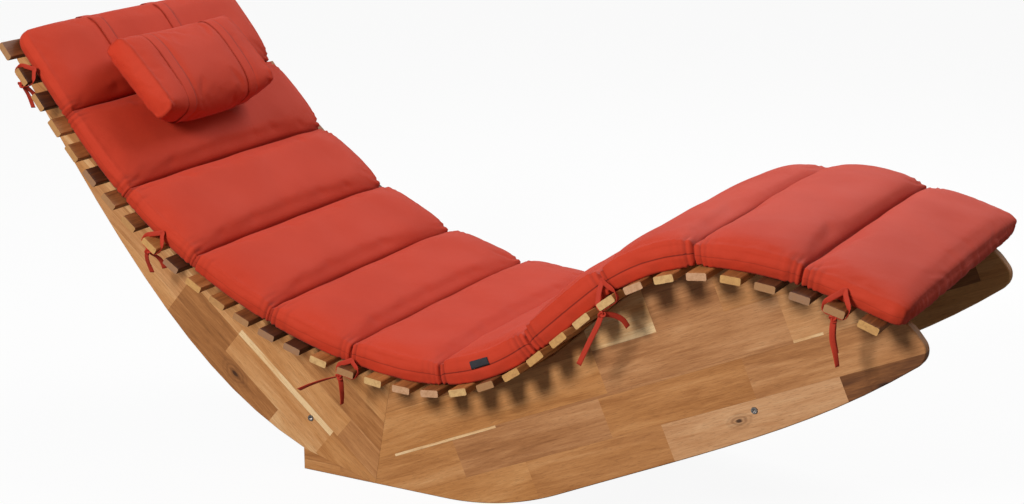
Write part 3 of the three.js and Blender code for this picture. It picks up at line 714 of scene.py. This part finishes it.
backRows = [
    (-0.30, -0.193, [(-1.2, 0.6, 0.2), (-0.5, 0.56, 0.3)]),
    (-0.193, -0.150, [(-1.2, 0.64, 0.2), (-0.43, 0.54, 0.4), (-0.2, 0.6, 0.3)]),
    (-0.150, -0.107, [(-1.2, 0.58, 0.3), (-0.80, 0.68, 0.3), (-0.527, 0.4, 0.2), (-0.281, 0.74, 0.3), (-0.17, 0.64, 0.2)]),
    (-0.107, -0.064, [(-1.2, 0.64, 0.2), (-0.76, 0.6, 0.5), (-0.527, 0.42, 0.2), (-0.405, 0.68, 0.3), (-0.179, 0.62, 0.2)]),
    (-0.064, -0.053, [(-1.2, 0.74, 0.3), (-0.405, 0.95, 0.2), (-0.179, 0.58, 0.2)]),
    (-0.053, -0.010, [(-1.2, 0.55, 0.3), (-0.46, 0.66, 0.2), (-0.178, 0.5, 0.4)]),
    (-0.010, 0.033, [(-1.2, 0.6, 0.2), (-0.33, 0.55, 0.3), (-0.10, 0.6, 0.2)]),
    (0.033, 0.30, [(-1.2, 0.56, 0.3), (-0.22, 0.64, 0.2)]),
]


def dressBoards(numbers):
    levels = numbers["levels"]
    finishes = {
        "front_board_near": boardFinish("frontBoardNear", numbers["frontTurn"], frontRows, [(0.562, -0.015, 0.004), (0.79, -0.02, 0.007)]),
        "back_board_near": boardFinish("backBoardNear", numbers["backTurn"], backRows, [(-0.367, -0.124, 0.006)]),
        "heel_board_near": boardFinish("heelBoardNear", numbers["heelTurn"],
                                       [(-0.2, 0.014, [(-1.2, 0.6, 0.2), (-0.16, 0.56, 0.3)]), (0.014, 0.2, [(-1.2, 0.5, 0.2)])]),
        "front_board_far": boardFinish("frontBoardFar", numbers["frontTurn"],
                                       scatteredRows(4, -0.25, 0.42, numbers["frontWidth"], 0.25, 0.5, levels)),
        "back_board_far": boardFinish("backBoardFar", numbers["backTurn"],
                                      scatteredRows(9, -0.28, 0.32, numbers["backWidth"], 0.22, 0.45, levels)),
        "heel_board_far": boardFinish("heelBoardFar", numbers["heelTurn"], [(-0.2, 0.2, [(-1.2, 0.54, 0.2), (-0.17, 0.62, 0.3)])]),
    }
    for name, finish in finishes.items():
        finishNode(name, finish)


dressBoards(boards)


def slatFinish(name, seed, tone, endTone):
    # one slat: grain along it, paler end grain with fine pores
    finish = Finish(name, Specular_IOR_Level=0.3)
    spot = finish.node("TexCoord", {}, {}, 3)
    x, y, z = finish.parts(spot)
    figure = grainFigure(finish, y, x, z, seed * 0.61)
    # painted shade: the long faces, tops included, are made 0.16 darker than the slat's tone, for the shade on the
    # slat tops beside the cushion; the rails share it
    color = dressWood(finish, figure["bands"] * 0 + (tone - 0.16), 0.25 * math.sin(seed * 2.1) ** 2, figure)
    facing = finish.parts(finish.node("TexCoord", {}, {}, 1))
    end = finish.smooth(finish.node("Math", {"operation": "ABSOLUTE"}, {0: facing[1]}), 0.5, 0.85)
    patches = finish.noise(spot, 130.0, 2.0, 0.5, 0.6)
    specks = finish.noise(spot, 900.0, 2.0, 0.6)
    endColor = finish.mix(finish.smooth(patches, 0.35, 0.75) * 0.45, paint(endTone), paint("9a6c42"))
    endColor = finish.mix(finish.smooth(specks, 0.5, 0.7) * 0.35, endColor, paint("6e4526"))
    endColor = finish.mix(0.3, endColor, paint("b87c50"))
    color = finish.mix(end, color, endColor)
    finish.give("Base Color", color)
    finish.give("Roughness", 0.45 + 0.25 * figure["lines"])
    finish.give("Normal", finish.bump(figure["pores"] * 0.5 + figure["lines"] + specks * 0.4, 0.14, 0.0006))
    return finish


# kinds of end grain, and each slat's kind and tone from the head to the foot
endWoods = {"cream": "e6c080", "honey": "d8a862", "blush": "d5a984", "tan": "be8f56", "brown": "a57d54", "grey": "8d7059"}
slatEnds = (
    "brown tan tan tan tan grey brown tan honey grey honey tan brown grey grey cream brown cream "
    "blush blush cream brown honey honey honey cream cream blush cream blush honey brown grey brown honey"
).split()
slatTones = (
    0.34, 0.22, 0.2, 0.62, 0.6, 0.2, 0.46, 0.42, 0.66, 0.2, 0.62, 0.52,
    0.4, 0.16, 0.22, 0.66, 0.4, 0.68, 0.56, 0.48, 0.64, 0.3, 0.66, 0.62,
    0.58, 0.66, 0.7, 0.56, 0.72, 0.66, 0.62, 0.28, 0.18, 0.44, 0.4,
)
for order, (name, tone, kind) in enumerate(zip(slatNames, slatTones, slatEnds)):
    finishNode(name, slatFinish(f"slatWood{order + 1}", order + 1, tone, endWoods[kind]))
for order, name in enumerate(("rear_rail", "front_rail")):
    finishNode(name, slatFinish(f"railWood{order + 1}", 51 + order, 0.58, "b98850"))
print("wood dressed")


# bolts and nuts: brushed steel, dark in the socket
def steelFinish(name, color, roughness):
    finish = Finish(name, Metallic=1.0)
    spot = finish.node("TexCoord", {}, {}, 3)
    brushed = finish.noise(finish.node("VectorMath", {"operation": "MULTIPLY"}, {0: spot, 1: (1.0, 8.0, 1.0)}), 900.0, 2.0, 0.5)
    worn = finish.noise(spot, 260.0, 3.0, 0.6)
    finish.give("Base Color", finish.mix(finish.smooth(worn, 0.5, 0.75) * 0.4, paint(color), paint("8d8a86")))
    finish.give("Roughness", roughness + 0.2 * brushed)
    finish.give("Normal", finish.bump(brushed, 0.08, 0.0002))
    return finish


boltSteel = steelFinish("boltSteel", "a29d99", 0.26)
for name in nodes:
    if "_bolt_" in name or "_nut_" in name:
        finishNode(name, boltSteel)


# cushion: eleven pads between sewn channels, shaped flat and then laid along the bed
cushion = {
    "pads": 11,
    "width": 0.558,
    "crowns": (0.044, 0.045, 0.046, 0.047, 0.048, 0.049, 0.050, 0.051, 0.050, 0.047, 0.041),
    "ridges": (0.026, 0.027, 0.029, 0.031, 0.033, 0.036, 0.039, 0.041, 0.039, 0.031, 0.026),
    "seam": 0.008,
    "seamPlaces": (-0.001, -0.001, -0.001, -0.004, -0.010, -0.013, -0.012, -0.006, -0.004, 0.003),
    "seamLifts": (0.000, 0.002, 0.001, 0.004, 0.005, 0.005, 0.010, 0.015, 0.016, 0.008),
    "draw": 0.006,
    "bulge": 0.004,
    "crownPower": 3.2,
    "ridgePower": 5.0,
    "farRidgePower": 2.4,
    "headSidePower": 3.0,
    "footSidePower": 8.0,
    "farSidePower": 3.2,
    "farNarrow": 0.005,
    "nearShift": 0.004,
    "headRound": 0.026,
    "footRound": 0.020,
    "headHeight": 0.024,
    "footHeight": 0.027,
    "padRows": 32,
    "acrossRows": 80,
    "sideRows": 12,
    "foldHeight": 0.0026,
    "foldReach": 0.021,
    "seed": 11,
    "cloth": {"frames": 20, "pressure": 3.5, "spare": 0.004, "gatherSpare": 0.16, "stiffness": 0.9, "cap": 0.003},
}
padLength = cushionLength / cushion["pads"]
seamPlaces = np.array([0.0] + [padLength * (at + 1) + shift for at, shift in enumerate(cushion["seamPlaces"])] + [cushionLength])
seamLifts = np.array([0.0] + list(cushion["seamLifts"]) + [0.0])


def denser(share, amount):
    # rows closer together near both ends of a -1 to 1 range
    return share * (1 + amount) - amount * share ** 3


def padShape(numbers, along, across, up):
    # along 0 to 1 over the whole cushion, across and up -1 to 1 over its section: the plump form without folds
    pads = numbers["pads"]
    local = along * pads
    pad = np.clip(np.floor(local), 0, pads - 1)
    t = denser(2 * (local - pad) - 1, 0.4)
    at = pad.astype(int)
    length = seamPlaces[at] + (t + 1) / 2 * (seamPlaces[at + 1] - seamPlaces[at])
    lift = np.where(t < 0, seamLifts[at], seamLifts[at + 1])
    crown = np.array(numbers["crowns"])[at]
    swell = np.clip(1 - np.abs(t) ** numbers["crownPower"], 0, 1) ** (1 / numbers["crownPower"])
    openHead = (pad == 0) & (t < 0)
    openFoot = (pad == pads - 1) & (t > 0)
    isOpen = openHead | openFoot
    fromEnd = np.where(openHead, length, cushionLength - length)
    corner = np.where(openHead, numbers["headRound"], numbers["footRound"])
    roll = np.sqrt(np.clip(1 - (1 - np.clip(fromEnd / corner, 0, 1)) ** 2, 0, 1))
    low = np.where(openHead, numbers["headHeight"], np.where(openFoot, numbers["footHeight"], numbers["seam"]))
    height = low + (crown - low) * np.where(isOpen, 0.35 * roll + 0.65 * swell, swell)
    pulled = np.where(isOpen, 0, 1 - swell)
    half = numbers["width"] / 2 - numbers["draw"] * pulled ** 1.5 - np.where(isOpen, (1 - roll) * 0.018, 0)
    half = half - np.where(across > 0, numbers["farNarrow"] * np.clip(1 - length / (2.5 * padLength), 0, 1), 0)
    ridgeHeight = np.array(numbers["ridges"])[at]
    ridgePower = np.where(across > 0, numbers["farRidgePower"], numbers["ridgePower"])
    ridgeSwell = np.clip(1 - np.abs(t) ** ridgePower, 0, 1) ** (1 / ridgePower)
    ridge = low * 0.8 + (ridgeHeight - low * 0.8) * np.where(isOpen, 0.35 * roll + 0.65 * ridgeSwell, ridgeSwell)
    ridge = np.minimum(ridge, 0.96 * height)
    edge = np.abs(across)
    power = numbers["headSidePower"] + (numbers["footSidePower"] - numbers["headSidePower"]) * (along * 1.15).clip(0, 1) ** 1.5
    power = np.where(across > 0, numbers["farSidePower"], power)
    base = lift * pulled ** 1.4 + np.where(isOpen, (1 - roll) * 0.004, 0)
    top = ridge + (height - ridge) * np.clip(1 - edge ** power, 0, 1) ** 0.62 + lift * pulled ** 1.4
    share = (up + 1) / 2
    rise = base + (top - base) * share
    fill = np.where(isOpen, 1, swell)
    side = half + numbers["bulge"] * fill * (1 - up ** 2) - 0.002 * (1 - share) * fill
    spread = side * across - numbers["nearShift"] * np.sin(math.pi * along)
    atHead, atFoot = along <= 1e-6, along >= 1 - 1e-6
    face = (1 - up ** 2) * (1 - edge ** 10) * 0.006
    length = length - np.where(atHead, face, 0) + np.where(atFoot, face, 0)
    return length, spread, rise, t, pad


def swollen(piece, held, gathered, numbers):
    # the cover blown up by its filling: Cloth on a copy, its held points kept, and the move capped
    start = points(piece)
    copy = piece.copy()
    copy.data = piece.data.copy()
    bpy.context.scene.collection.objects.link(copy)
    group = copy.vertex_groups.new(name="held")
    for weight in np.unique(held[held > 0]):
        group.add([int(k) for k in np.flatnonzero(held == weight)], float(weight), "REPLACE")
    cloth = copy.modifiers.new("cover", "CLOTH")
    cover = cloth.settings
    cover.quality = 6
    cover.mass = 0.25
    cover.tension_stiffness = 18
    cover.compression_stiffness = 18
    cover.shear_stiffness = 6
    cover.bending_stiffness = numbers["stiffness"]
    cover.use_pressure = True
    cover.uniform_pressure_force = numbers["pressure"]
    gathers = copy.vertex_groups.new(name="gathers")
    for level in (0.25, 0.5, 0.75, 1.0):
        picked = np.flatnonzero((gathered > level - 0.25) & (gathered <= level))
        gathers.add([int(k) for k in picked], level, "REPLACE")
    cover.shrink_min = -numbers["spare"]
    cover.shrink_max = -numbers["gatherSpare"]
    cover.vertex_group_shrink = "gathers"
    cover.vertex_group_mass = "held"
    cover.effector_weights.gravity = 0
    cloth.collision_settings.use_collision = False
    cloth.point_cache.frame_start = 1
    cloth.point_cache.frame_end = numbers["frames"]
    for step in range(1, numbers["frames"] + 1):
        bpy.context.scene.frame_set(step)
    shaped = copy.evaluated_get(bpy.context.evaluated_depsgraph_get()).to_mesh()
    flat = np.empty(len(shaped.vertices) * 3, np.float32)
    shaped.vertices.foreach_get("co", flat)
    copy.evaluated_get(bpy.context.evaluated_depsgraph_get()).to_mesh_clear()
    bpy.context.scene.frame_set(1)
    bpy.data.objects.remove(copy)
    move = flat.reshape(-1, 3).astype(float) - start
    size = np.linalg.norm(move, axis=1)[:, None]
    print("cloth moved", round(float(size.mean()) * 1000, 1), "mm on average, at most", round(float(size.max()) * 1000, 1))
    return start + move * np.minimum(1, numbers["cap"] / np.maximum(size, 1e-9))


def channelFolds(numbers, length, spread, rise, side):
    # short gathers across the edge on both sides of where each channel ends, and a mask of painted shade in their
    # creases
    chance = np.random.default_rng(numbers["seed"])
    total = np.zeros(len(length))
    creaseShade = np.zeros(len(length))
    middle = -numbers["nearShift"] * np.sin(math.pi * np.clip(length / cushionLength, 0, 1))
    for seam in range(1, numbers["pads"]):
        for end in (-1, 1):
            runs = length - seamPlaces[seam]
            inward = (numbers["width"] / 2 - numbers["draw"]) - end * (spread - middle)
            inward = np.where(np.abs(side) > 0.5, 0, np.maximum(inward, 0))
            inward = np.where(end * side < -0.5, 9.0, inward)
            pitch = chance.uniform(0.0085, 0.0115)
            phase, tilt = chance.uniform(0, math.pi, 2)
            reach = numbers["foldReach"] * chance.uniform(0.85, 1.3)
            wave = 2 * np.abs(np.sin(math.pi * runs / pitch + phase + inward * 30)) - 1.1 + 0.3 * np.cos(260 * runs + tilt - inward * 90)
            fade = np.exp(-(np.abs(runs) / reach) ** 2) * np.clip(np.abs(runs) / 0.002, 0, 1) * np.exp(-inward / (reach * 0.8))
            total += numbers["foldHeight"] * wave * fade
            # painted shade in the troughs of the gathers
            creaseShade += np.clip(0.25 - wave, 0, 1) * fade
    return total, np.clip(creaseShade, 0, 1)


def addCushion(numbers):
    rows = (numbers["pads"] * numbers["padRows"], numbers["acrossRows"], numbers["sideRows"])
    bm = gridBox(rows)
    mapLayer = bm.loops.layers.uv.new("clothMap")
    halfWidth = numbers["width"] / 2
    tall = 0.035
    for face in bm.faces:
        n = face.normal
        for loop in face.loops:
            x, y, z = loop.vert.co
            u = (x + 1) / 2 * cushionLength
            if abs(n.z) > 0.5:
                v = y * halfWidth if n.z > 0 else 2 * halfWidth + tall - y * halfWidth
            elif abs(n.y) > 0.5:
                v = n.y * (halfWidth + (1 - z) / 2 * tall)
            else:
                u += n.x * (1 - z) / 2 * tall
                v = y * halfWidth
            loop[mapLayer].uv = (u, v)
    piece = pieceFrom(bm, "channel_cushion", cushionCloth)
    cube = points(piece)
    along = (cube[:, 0] + 1) / 2
    across = denser(cube[:, 1], 0.35)
    up = cube[:, 2]
    length, spread, rise, t, pad = padShape(numbers, along, across, up)
    place(piece, np.stack([length, spread, rise], -1))
    onSeam = (1 - np.abs(t) < 1e-6) & (length > 0.01) & (length < cushionLength - 0.01)
    below = up < -0.99
    onRidge = (up > 0.99) & ((np.abs(cube[:, 1]) > 0.999) | (np.abs(cube[:, 0]) > 0.999))
    held = np.where(onSeam | below, 1.0, np.where(onRidge, 0.7, 0.0))
    toSeam = np.abs(length[:, None] - seamPlaces[None, 1:-1]).min(1)
    toEdge = np.where(np.abs(np.abs(cube[:, 1]) - 1) < 1e-5, 0, numbers["width"] / 2 - np.abs(spread))
    gathered = np.clip(1.3 - np.hypot(toSeam, toEdge) / 0.03, 0, 1)
    start = points(piece)
    blown = swollen(piece, held, gathered, numbers["cloth"])
    free = np.clip(toSeam / 0.012, 0, 1) ** 2 * np.clip(np.minimum(length, cushionLength - length) / 0.03, 0.25, 1)
    place(piece, start + (blown - start) * free[:, None])

    side = np.where(np.abs(np.abs(cube[:, 1]) - 1) < 1e-5, np.sign(cube[:, 1]), 0)
    normals = np.empty(len(cube) * 3, np.float32)
    piece.data.vertices.foreach_get("normal", normals)
    normals = normals.reshape(-1, 3)
    folds, creaseShade = channelFolds(numbers, length, spread, rise, side)
    print("gathers reach", round(float(np.abs(folds).max()) * 1000, 1), "mm")
    atEnd = (along <= 1e-6) | (along >= 1 - 1e-6)
    spots = points(piece)
    endFold = 0.0009 * np.sin(spread * 520 + 3 * np.sin(spread * 47)) * np.exp(-(cushionLength - length) / 0.014) * (along > 0.5)
    pinches = sum(np.exp(-((spread + numbers["width"] / 2 - at) / 0.0028) ** 2) for at in (0.011, 0.024))
    endFold -= 0.0035 * pinches * np.exp(-((up - 0.1) / 0.55) ** 2) * np.exp(-(cushionLength - length) / 0.006) * (along > 0.5)
    topSide = up > 0.99
    wander = 0.0009 * np.sin(length * 41 + 2.1 * np.sin(spread * 17)) * np.sin(spread * 23 + pad)
    lift = folds + endFold + np.where(topSide, wander, 0)
    groove = np.exp(-((up - 0.0) * 0.018 / 0.0016) ** 2) * (np.abs(side) > 0.5)
    strength = np.interp(pad, [0, 4, 5, 6, 8, 9, 10], [0.25, 0.3, 0.6, 1.0, 1.0, 0.4, 0.3])
    lift = lift - 0.0009 * groove * strength * (1 - np.abs(t) ** 8)
    ridgeLine = np.exp(-((1 - np.abs(across)) * halfWidth / 0.004) ** 2) * topSide
    lift = lift + 0.0016 * ridgeLine * (1 - np.abs(t) ** 6)
    spots = spots + normals * lift[:, None]
    spots[:, 2] = np.maximum(spots[:, 2], 0.0)
    flat = onBed(spots[:, 0], spots[:, 1], spots[:, 2])
    place(piece, flat)

    # painted shade in the cover's attributes: along each channel seam's valley, with its stitching, and in the
    # gathers' creases
    stitch = piece.data.attributes.new("stitch", "FLOAT", "POINT")
    channelSeamShade = np.exp(-((1 - np.abs(t)) * padLength / 2 / 0.0016) ** 2) * (pad + (t > 0) >= 1) * (pad + (t > 0) <= numbers["pads"] - 1)
    stitch.data.foreach_set("value", np.clip(channelSeamShade + creaseShade * 0.9, 0, 1).astype(np.float32))
    # the side line's strength: stitching with painted shade in its groove, strongest on the middle pads
    closing = piece.data.attributes.new("closing", "FLOAT", "POINT")
    closing.data.foreach_set("value", (strength * (np.abs(side) > 0.5)).astype(np.float32))
    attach(piece, "root")
    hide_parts("seat_cushion")
    return piece


channelCushion = addCushion(cushion)
print("cushion laid on the slats")


# head pillow, the bands round it and the straps to the head end
pillow = {
    "length": 0.295,
    "width": 0.160,
    "endWidth": 0.147,
    "endShift": -0.0055,
    "top": 0.047,
    "endTop": 0.039,
    "bottom": -0.034,
    "endBottom": -0.008,
    "strapWidth": 0.025,
    "rows": (40, 76, 22),
    "distance": 0.150,
    "squeeze": 0.0016,
    "cloth": {"frames": 16, "pressure": 3.0, "spare": 0.006, "gatherSpare": 0.06, "stiffness": 0.8, "cap": 0.006},
}


def pillowFrame(numbers):
    low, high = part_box("head_pillow")
    middle = (np.array(low) + np.array(high)) / 2
    _, heading = bedLine(numbers["distance"])
    along = np.array([heading[0], 0, heading[1]])
    normal = np.array([-heading[1], 0, heading[0]])
    return middle, along, normal


def bandPlaces(middle):
    places = []
    for name in ("near", "far"):
        low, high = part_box("pillow_strap_" + name)
        places.append((low.y + high.y) / 2 - middle[1])
    return places


def pillowForm(numbers, x, z, across, bands, grow=0.0):
    # domed above, flat below, its ends drawn in a little; x and z run -1 to 1 over the section
    share = np.abs(across) / (numbers["length"] / 2)
    taper = np.clip(share, 0, 1) ** 3.2
    size = np.maximum(np.abs(x), np.abs(z))
    power = np.where(z < 0, 4.5, 2.5) + np.where(z < 0, 1.0, 2.2) * taper
    stretch = (np.abs(x) ** power + np.abs(z) ** power) ** (1 / power)
    stretch = np.where(stretch > 1e-6, size / np.maximum(stretch, 1e-6), 0)
    squeeze = sum(np.exp(-((across - place) / 0.016) ** 4) for place in bands) * numbers["squeeze"]
    half = (numbers["width"] + (numbers["endWidth"] - numbers["width"]) * taper) / 2 + grow - squeeze
    top = numbers["top"] + (numbers["endTop"] - numbers["top"]) * taper - squeeze + grow
    bottom = numbers["bottom"] + (numbers["endBottom"] - numbers["bottom"]) * taper + squeeze - grow
    runs = x * stretch * half + numbers["endShift"] * taper
    rise = (top + bottom) / 2 + z * stretch * (top - bottom) / 2 + 0.006 * x * taper
    return runs, rise


def addPillow(numbers):
    bm = gridBox(numbers["rows"])
    mapLayer = bm.loops.layers.uv.new("clothMap")
    for face in bm.faces:
        n = face.normal
        for loop in face.loops:
            x, y, z = loop.vert.co
            if abs(n.y) > 0.5:
                loop[mapLayer].uv = (x * 0.08, z * 0.037)
            elif abs(n.z) > 0.5:
                loop[mapLayer].uv = (x * 0.08, y * 0.147)
            else:
                loop[mapLayer].uv = (n.x * 0.08 + n.x * (1 - z) * 0.037, y * 0.147)
    piece = pieceFrom(bm, "head_pillow_cover", cushionCloth)
    cube = points(piece)
    middle, along, normal = pillowFrame(numbers)
    bands = bandPlaces(middle)
    x, z = cube[:, 0], cube[:, 2]
    across = denser(cube[:, 1], 0.25) * numbers["length"] / 2
    runs, rise = pillowForm(numbers, x, z, across, bands)
    size = np.maximum(np.abs(x), np.abs(z))
    atEnd = np.abs(np.abs(cube[:, 1]) - 1) < 1e-5
    puff = np.where(atEnd, (1 - size ** 3) * 0.007, 0)
    spread = across * np.where(across > 0, 0.955, 0.975) + np.sign(across) * puff
    place(piece, np.stack([runs, spread, rise], -1))
    underBand = np.min([np.abs(across - place) for place in bands], axis=0) < 0.0135
    rim = np.abs(np.abs(cube[:, 1]) - 1) < 0.03
    edgeLoop = atEnd & (size > 0.99)
    held = np.where(underBand & (size > 0.99) | edgeLoop, 1.0, 0.0)
    corner = np.exp(-((np.abs(x) - 1) ** 2 + (np.abs(z) - 1) ** 2) / 0.12) * np.exp(-((numbers["length"] / 2 - np.abs(across)) / 0.025) ** 2)
    place(piece, swollen(piece, held, corner, numbers["cloth"]))
    local = points(piece)
    ridge = np.exp(-((numbers["length"] / 2 - np.abs(across)) / 0.0035) ** 2) * (size > 0.97)
    normals = np.empty(len(cube) * 3, np.float32)
    piece.data.vertices.foreach_get("normal", normals)
    pinch = np.sin(np.arctan2(z, x) * 22 + 2.0 * np.sin(across * 90)) * np.exp(-((numbers["length"] / 2 - np.abs(across)) / 0.012) ** 2) * (size > 0.9)
    local += normals.reshape(-1, 3) * (ridge * 0.0012 + pinch * 0.0006 * (0.4 + corner))[:, None]
    place(piece, middle + local[:, :1] * along + local[:, 2:] * normal + local[:, 1:2] * np.array([0, 1, 0]))
    stitch = piece.data.attributes.new("stitch", "FLOAT", "POINT")
    stitch.data.foreach_set("value", (ridge * 0.3).astype(np.float32))
    closing = piece.data.attributes.new("closing", "FLOAT", "POINT")
    closing.data.foreach_set("value", np.zeros(len(cube), np.float32))
    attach(piece, "pillow")
    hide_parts("head_pillow")
    return piece


pillowCover = addPillow(pillow)


def addStraps(numbers):
    middle, along, normal = pillowFrame(numbers)
    bands = bandPlaces(middle)
    ground = BVHTree.FromPolygons([v.co for v in channelCushion.data.vertices], [p.vertices for p in channelCushion.data.polygons])
    for name, offset in zip(("near", "far"), bands):
        across = middle[1] + offset
        turns = np.linspace(0, 2 * math.pi, 96, endpoint=False)
        square = np.maximum(np.abs(np.cos(turns)), np.abs(np.sin(turns)))
        runs, rise = pillowForm(numbers, np.cos(turns) / square, np.sin(turns) / square, np.full(96, offset), bands, 0.0009)
        ring = middle + runs[:, None] * along + rise[:, None] * normal
        ring[:, 1] = across
        band = tape(f"pillow_band_{name}", ring, (0, 1, 0), numbers["strapWidth"], 0.0014, strapCloth, True)
        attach(band, "pillow")

        # from the sewn end on the head face, flat over the first pad, to under the pillow
        spots = []
        start, heading = bedLine(-bed["headReach"])
        upward = np.array([-heading[1], heading[0]])
        for height in (0.008, 0.015, 0.022):
            probe = start - heading * 0.06 + upward * (height + bed["slatTop"])
            hit, _, _, _ = ground.ray_cast(Vector((probe[0], across, probe[1])), Vector((heading[0], 0, heading[1])))
            spots.append(np.array(hit) - np.array([heading[0], 0, heading[1]]) * 0.0013)
        for distance in np.arange(-0.006, 0.098, 0.012):
            spot, heading = bedLine(distance)
            upward = Vector((-heading[1], 0, heading[0]))
            hit, _, _, _ = ground.ray_cast(Vector((spot[0], across, spot[1])) + upward * 0.12, -upward)
            spots.append(np.array(hit) + np.array(upward) * 0.0012)
        edge = -numbers["width"] / 2
        for shift, lift in ((edge + 0.026, -0.0352), (edge + 0.040, -0.0352)):
            spot = middle + shift * along + lift * normal
            spot[1] = across
            spots.append(spot)
        line = throughPoints(spots, 6)
        strap = tape(f"pillow_strap_cloth_{name}", line, (0, 1, 0), numbers["strapWidth"], 0.0013, strapCloth)
        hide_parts("pillow_strap_" + name)
        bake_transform(strap)


addStraps(pillow)
print("pillow and straps done")


# bare dark tab on the seventh pad's side
tab = {"from": (0.1192, 0.2513), "to": (0.1492, 0.2639), "across": -0.284, "height": 0.0115, "thickness": 0.0009}


def addTab(numbers):
    finish = Finish("tabCloth", Roughness=0.9)
    spot = finish.node("TexCoord", {}, {}, 3)
    threads = finish.noise(spot, 900.0, 2.0, 0.5)
    finish.give("Base Color", finish.mix(threads, paint("1d1c1f"), paint("333136")))
    finish.give("Normal", finish.bump(threads, 0.3, 0.0003))
    tree = BVHTree.FromPolygons([v.co for v in channelCushion.data.vertices], [p.vertices for p in channelCushion.data.polygons])
    bm = bmesh.new()
    bmesh.ops.create_grid(bm, x_segments=10, y_segments=5, size=0.5)
    start, end = np.array(numbers["from"]), np.array(numbers["to"])
    heading = (end - start) / np.linalg.norm(end - start)
    square = np.array([-heading[1], heading[0]])
    for vert in bm.verts:
        flat = start + (end - start) * (vert.co.x + 0.5) + square * (vert.co.y) * numbers["height"]
        probe = Vector((flat[0], numbers["across"] - 0.05, flat[1]))
        hit, face, _, _ = tree.ray_cast(probe, Vector((0, 1, 0)))
        depth = hit.y if hit else numbers["across"]
        vert.co = Vector((flat[0], depth - numbers["thickness"] * 1.2, flat[1]))
    bmesh.ops.solidify(bm, geom=bm.faces, thickness=numbers["thickness"])
    bmesh.ops.recalc_face_normals(bm, faces=bm.faces)
    piece = pieceFrom(bm, "side_tab", finish)
    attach(piece, "root")


addTab(tab)
print("tab sewn on")
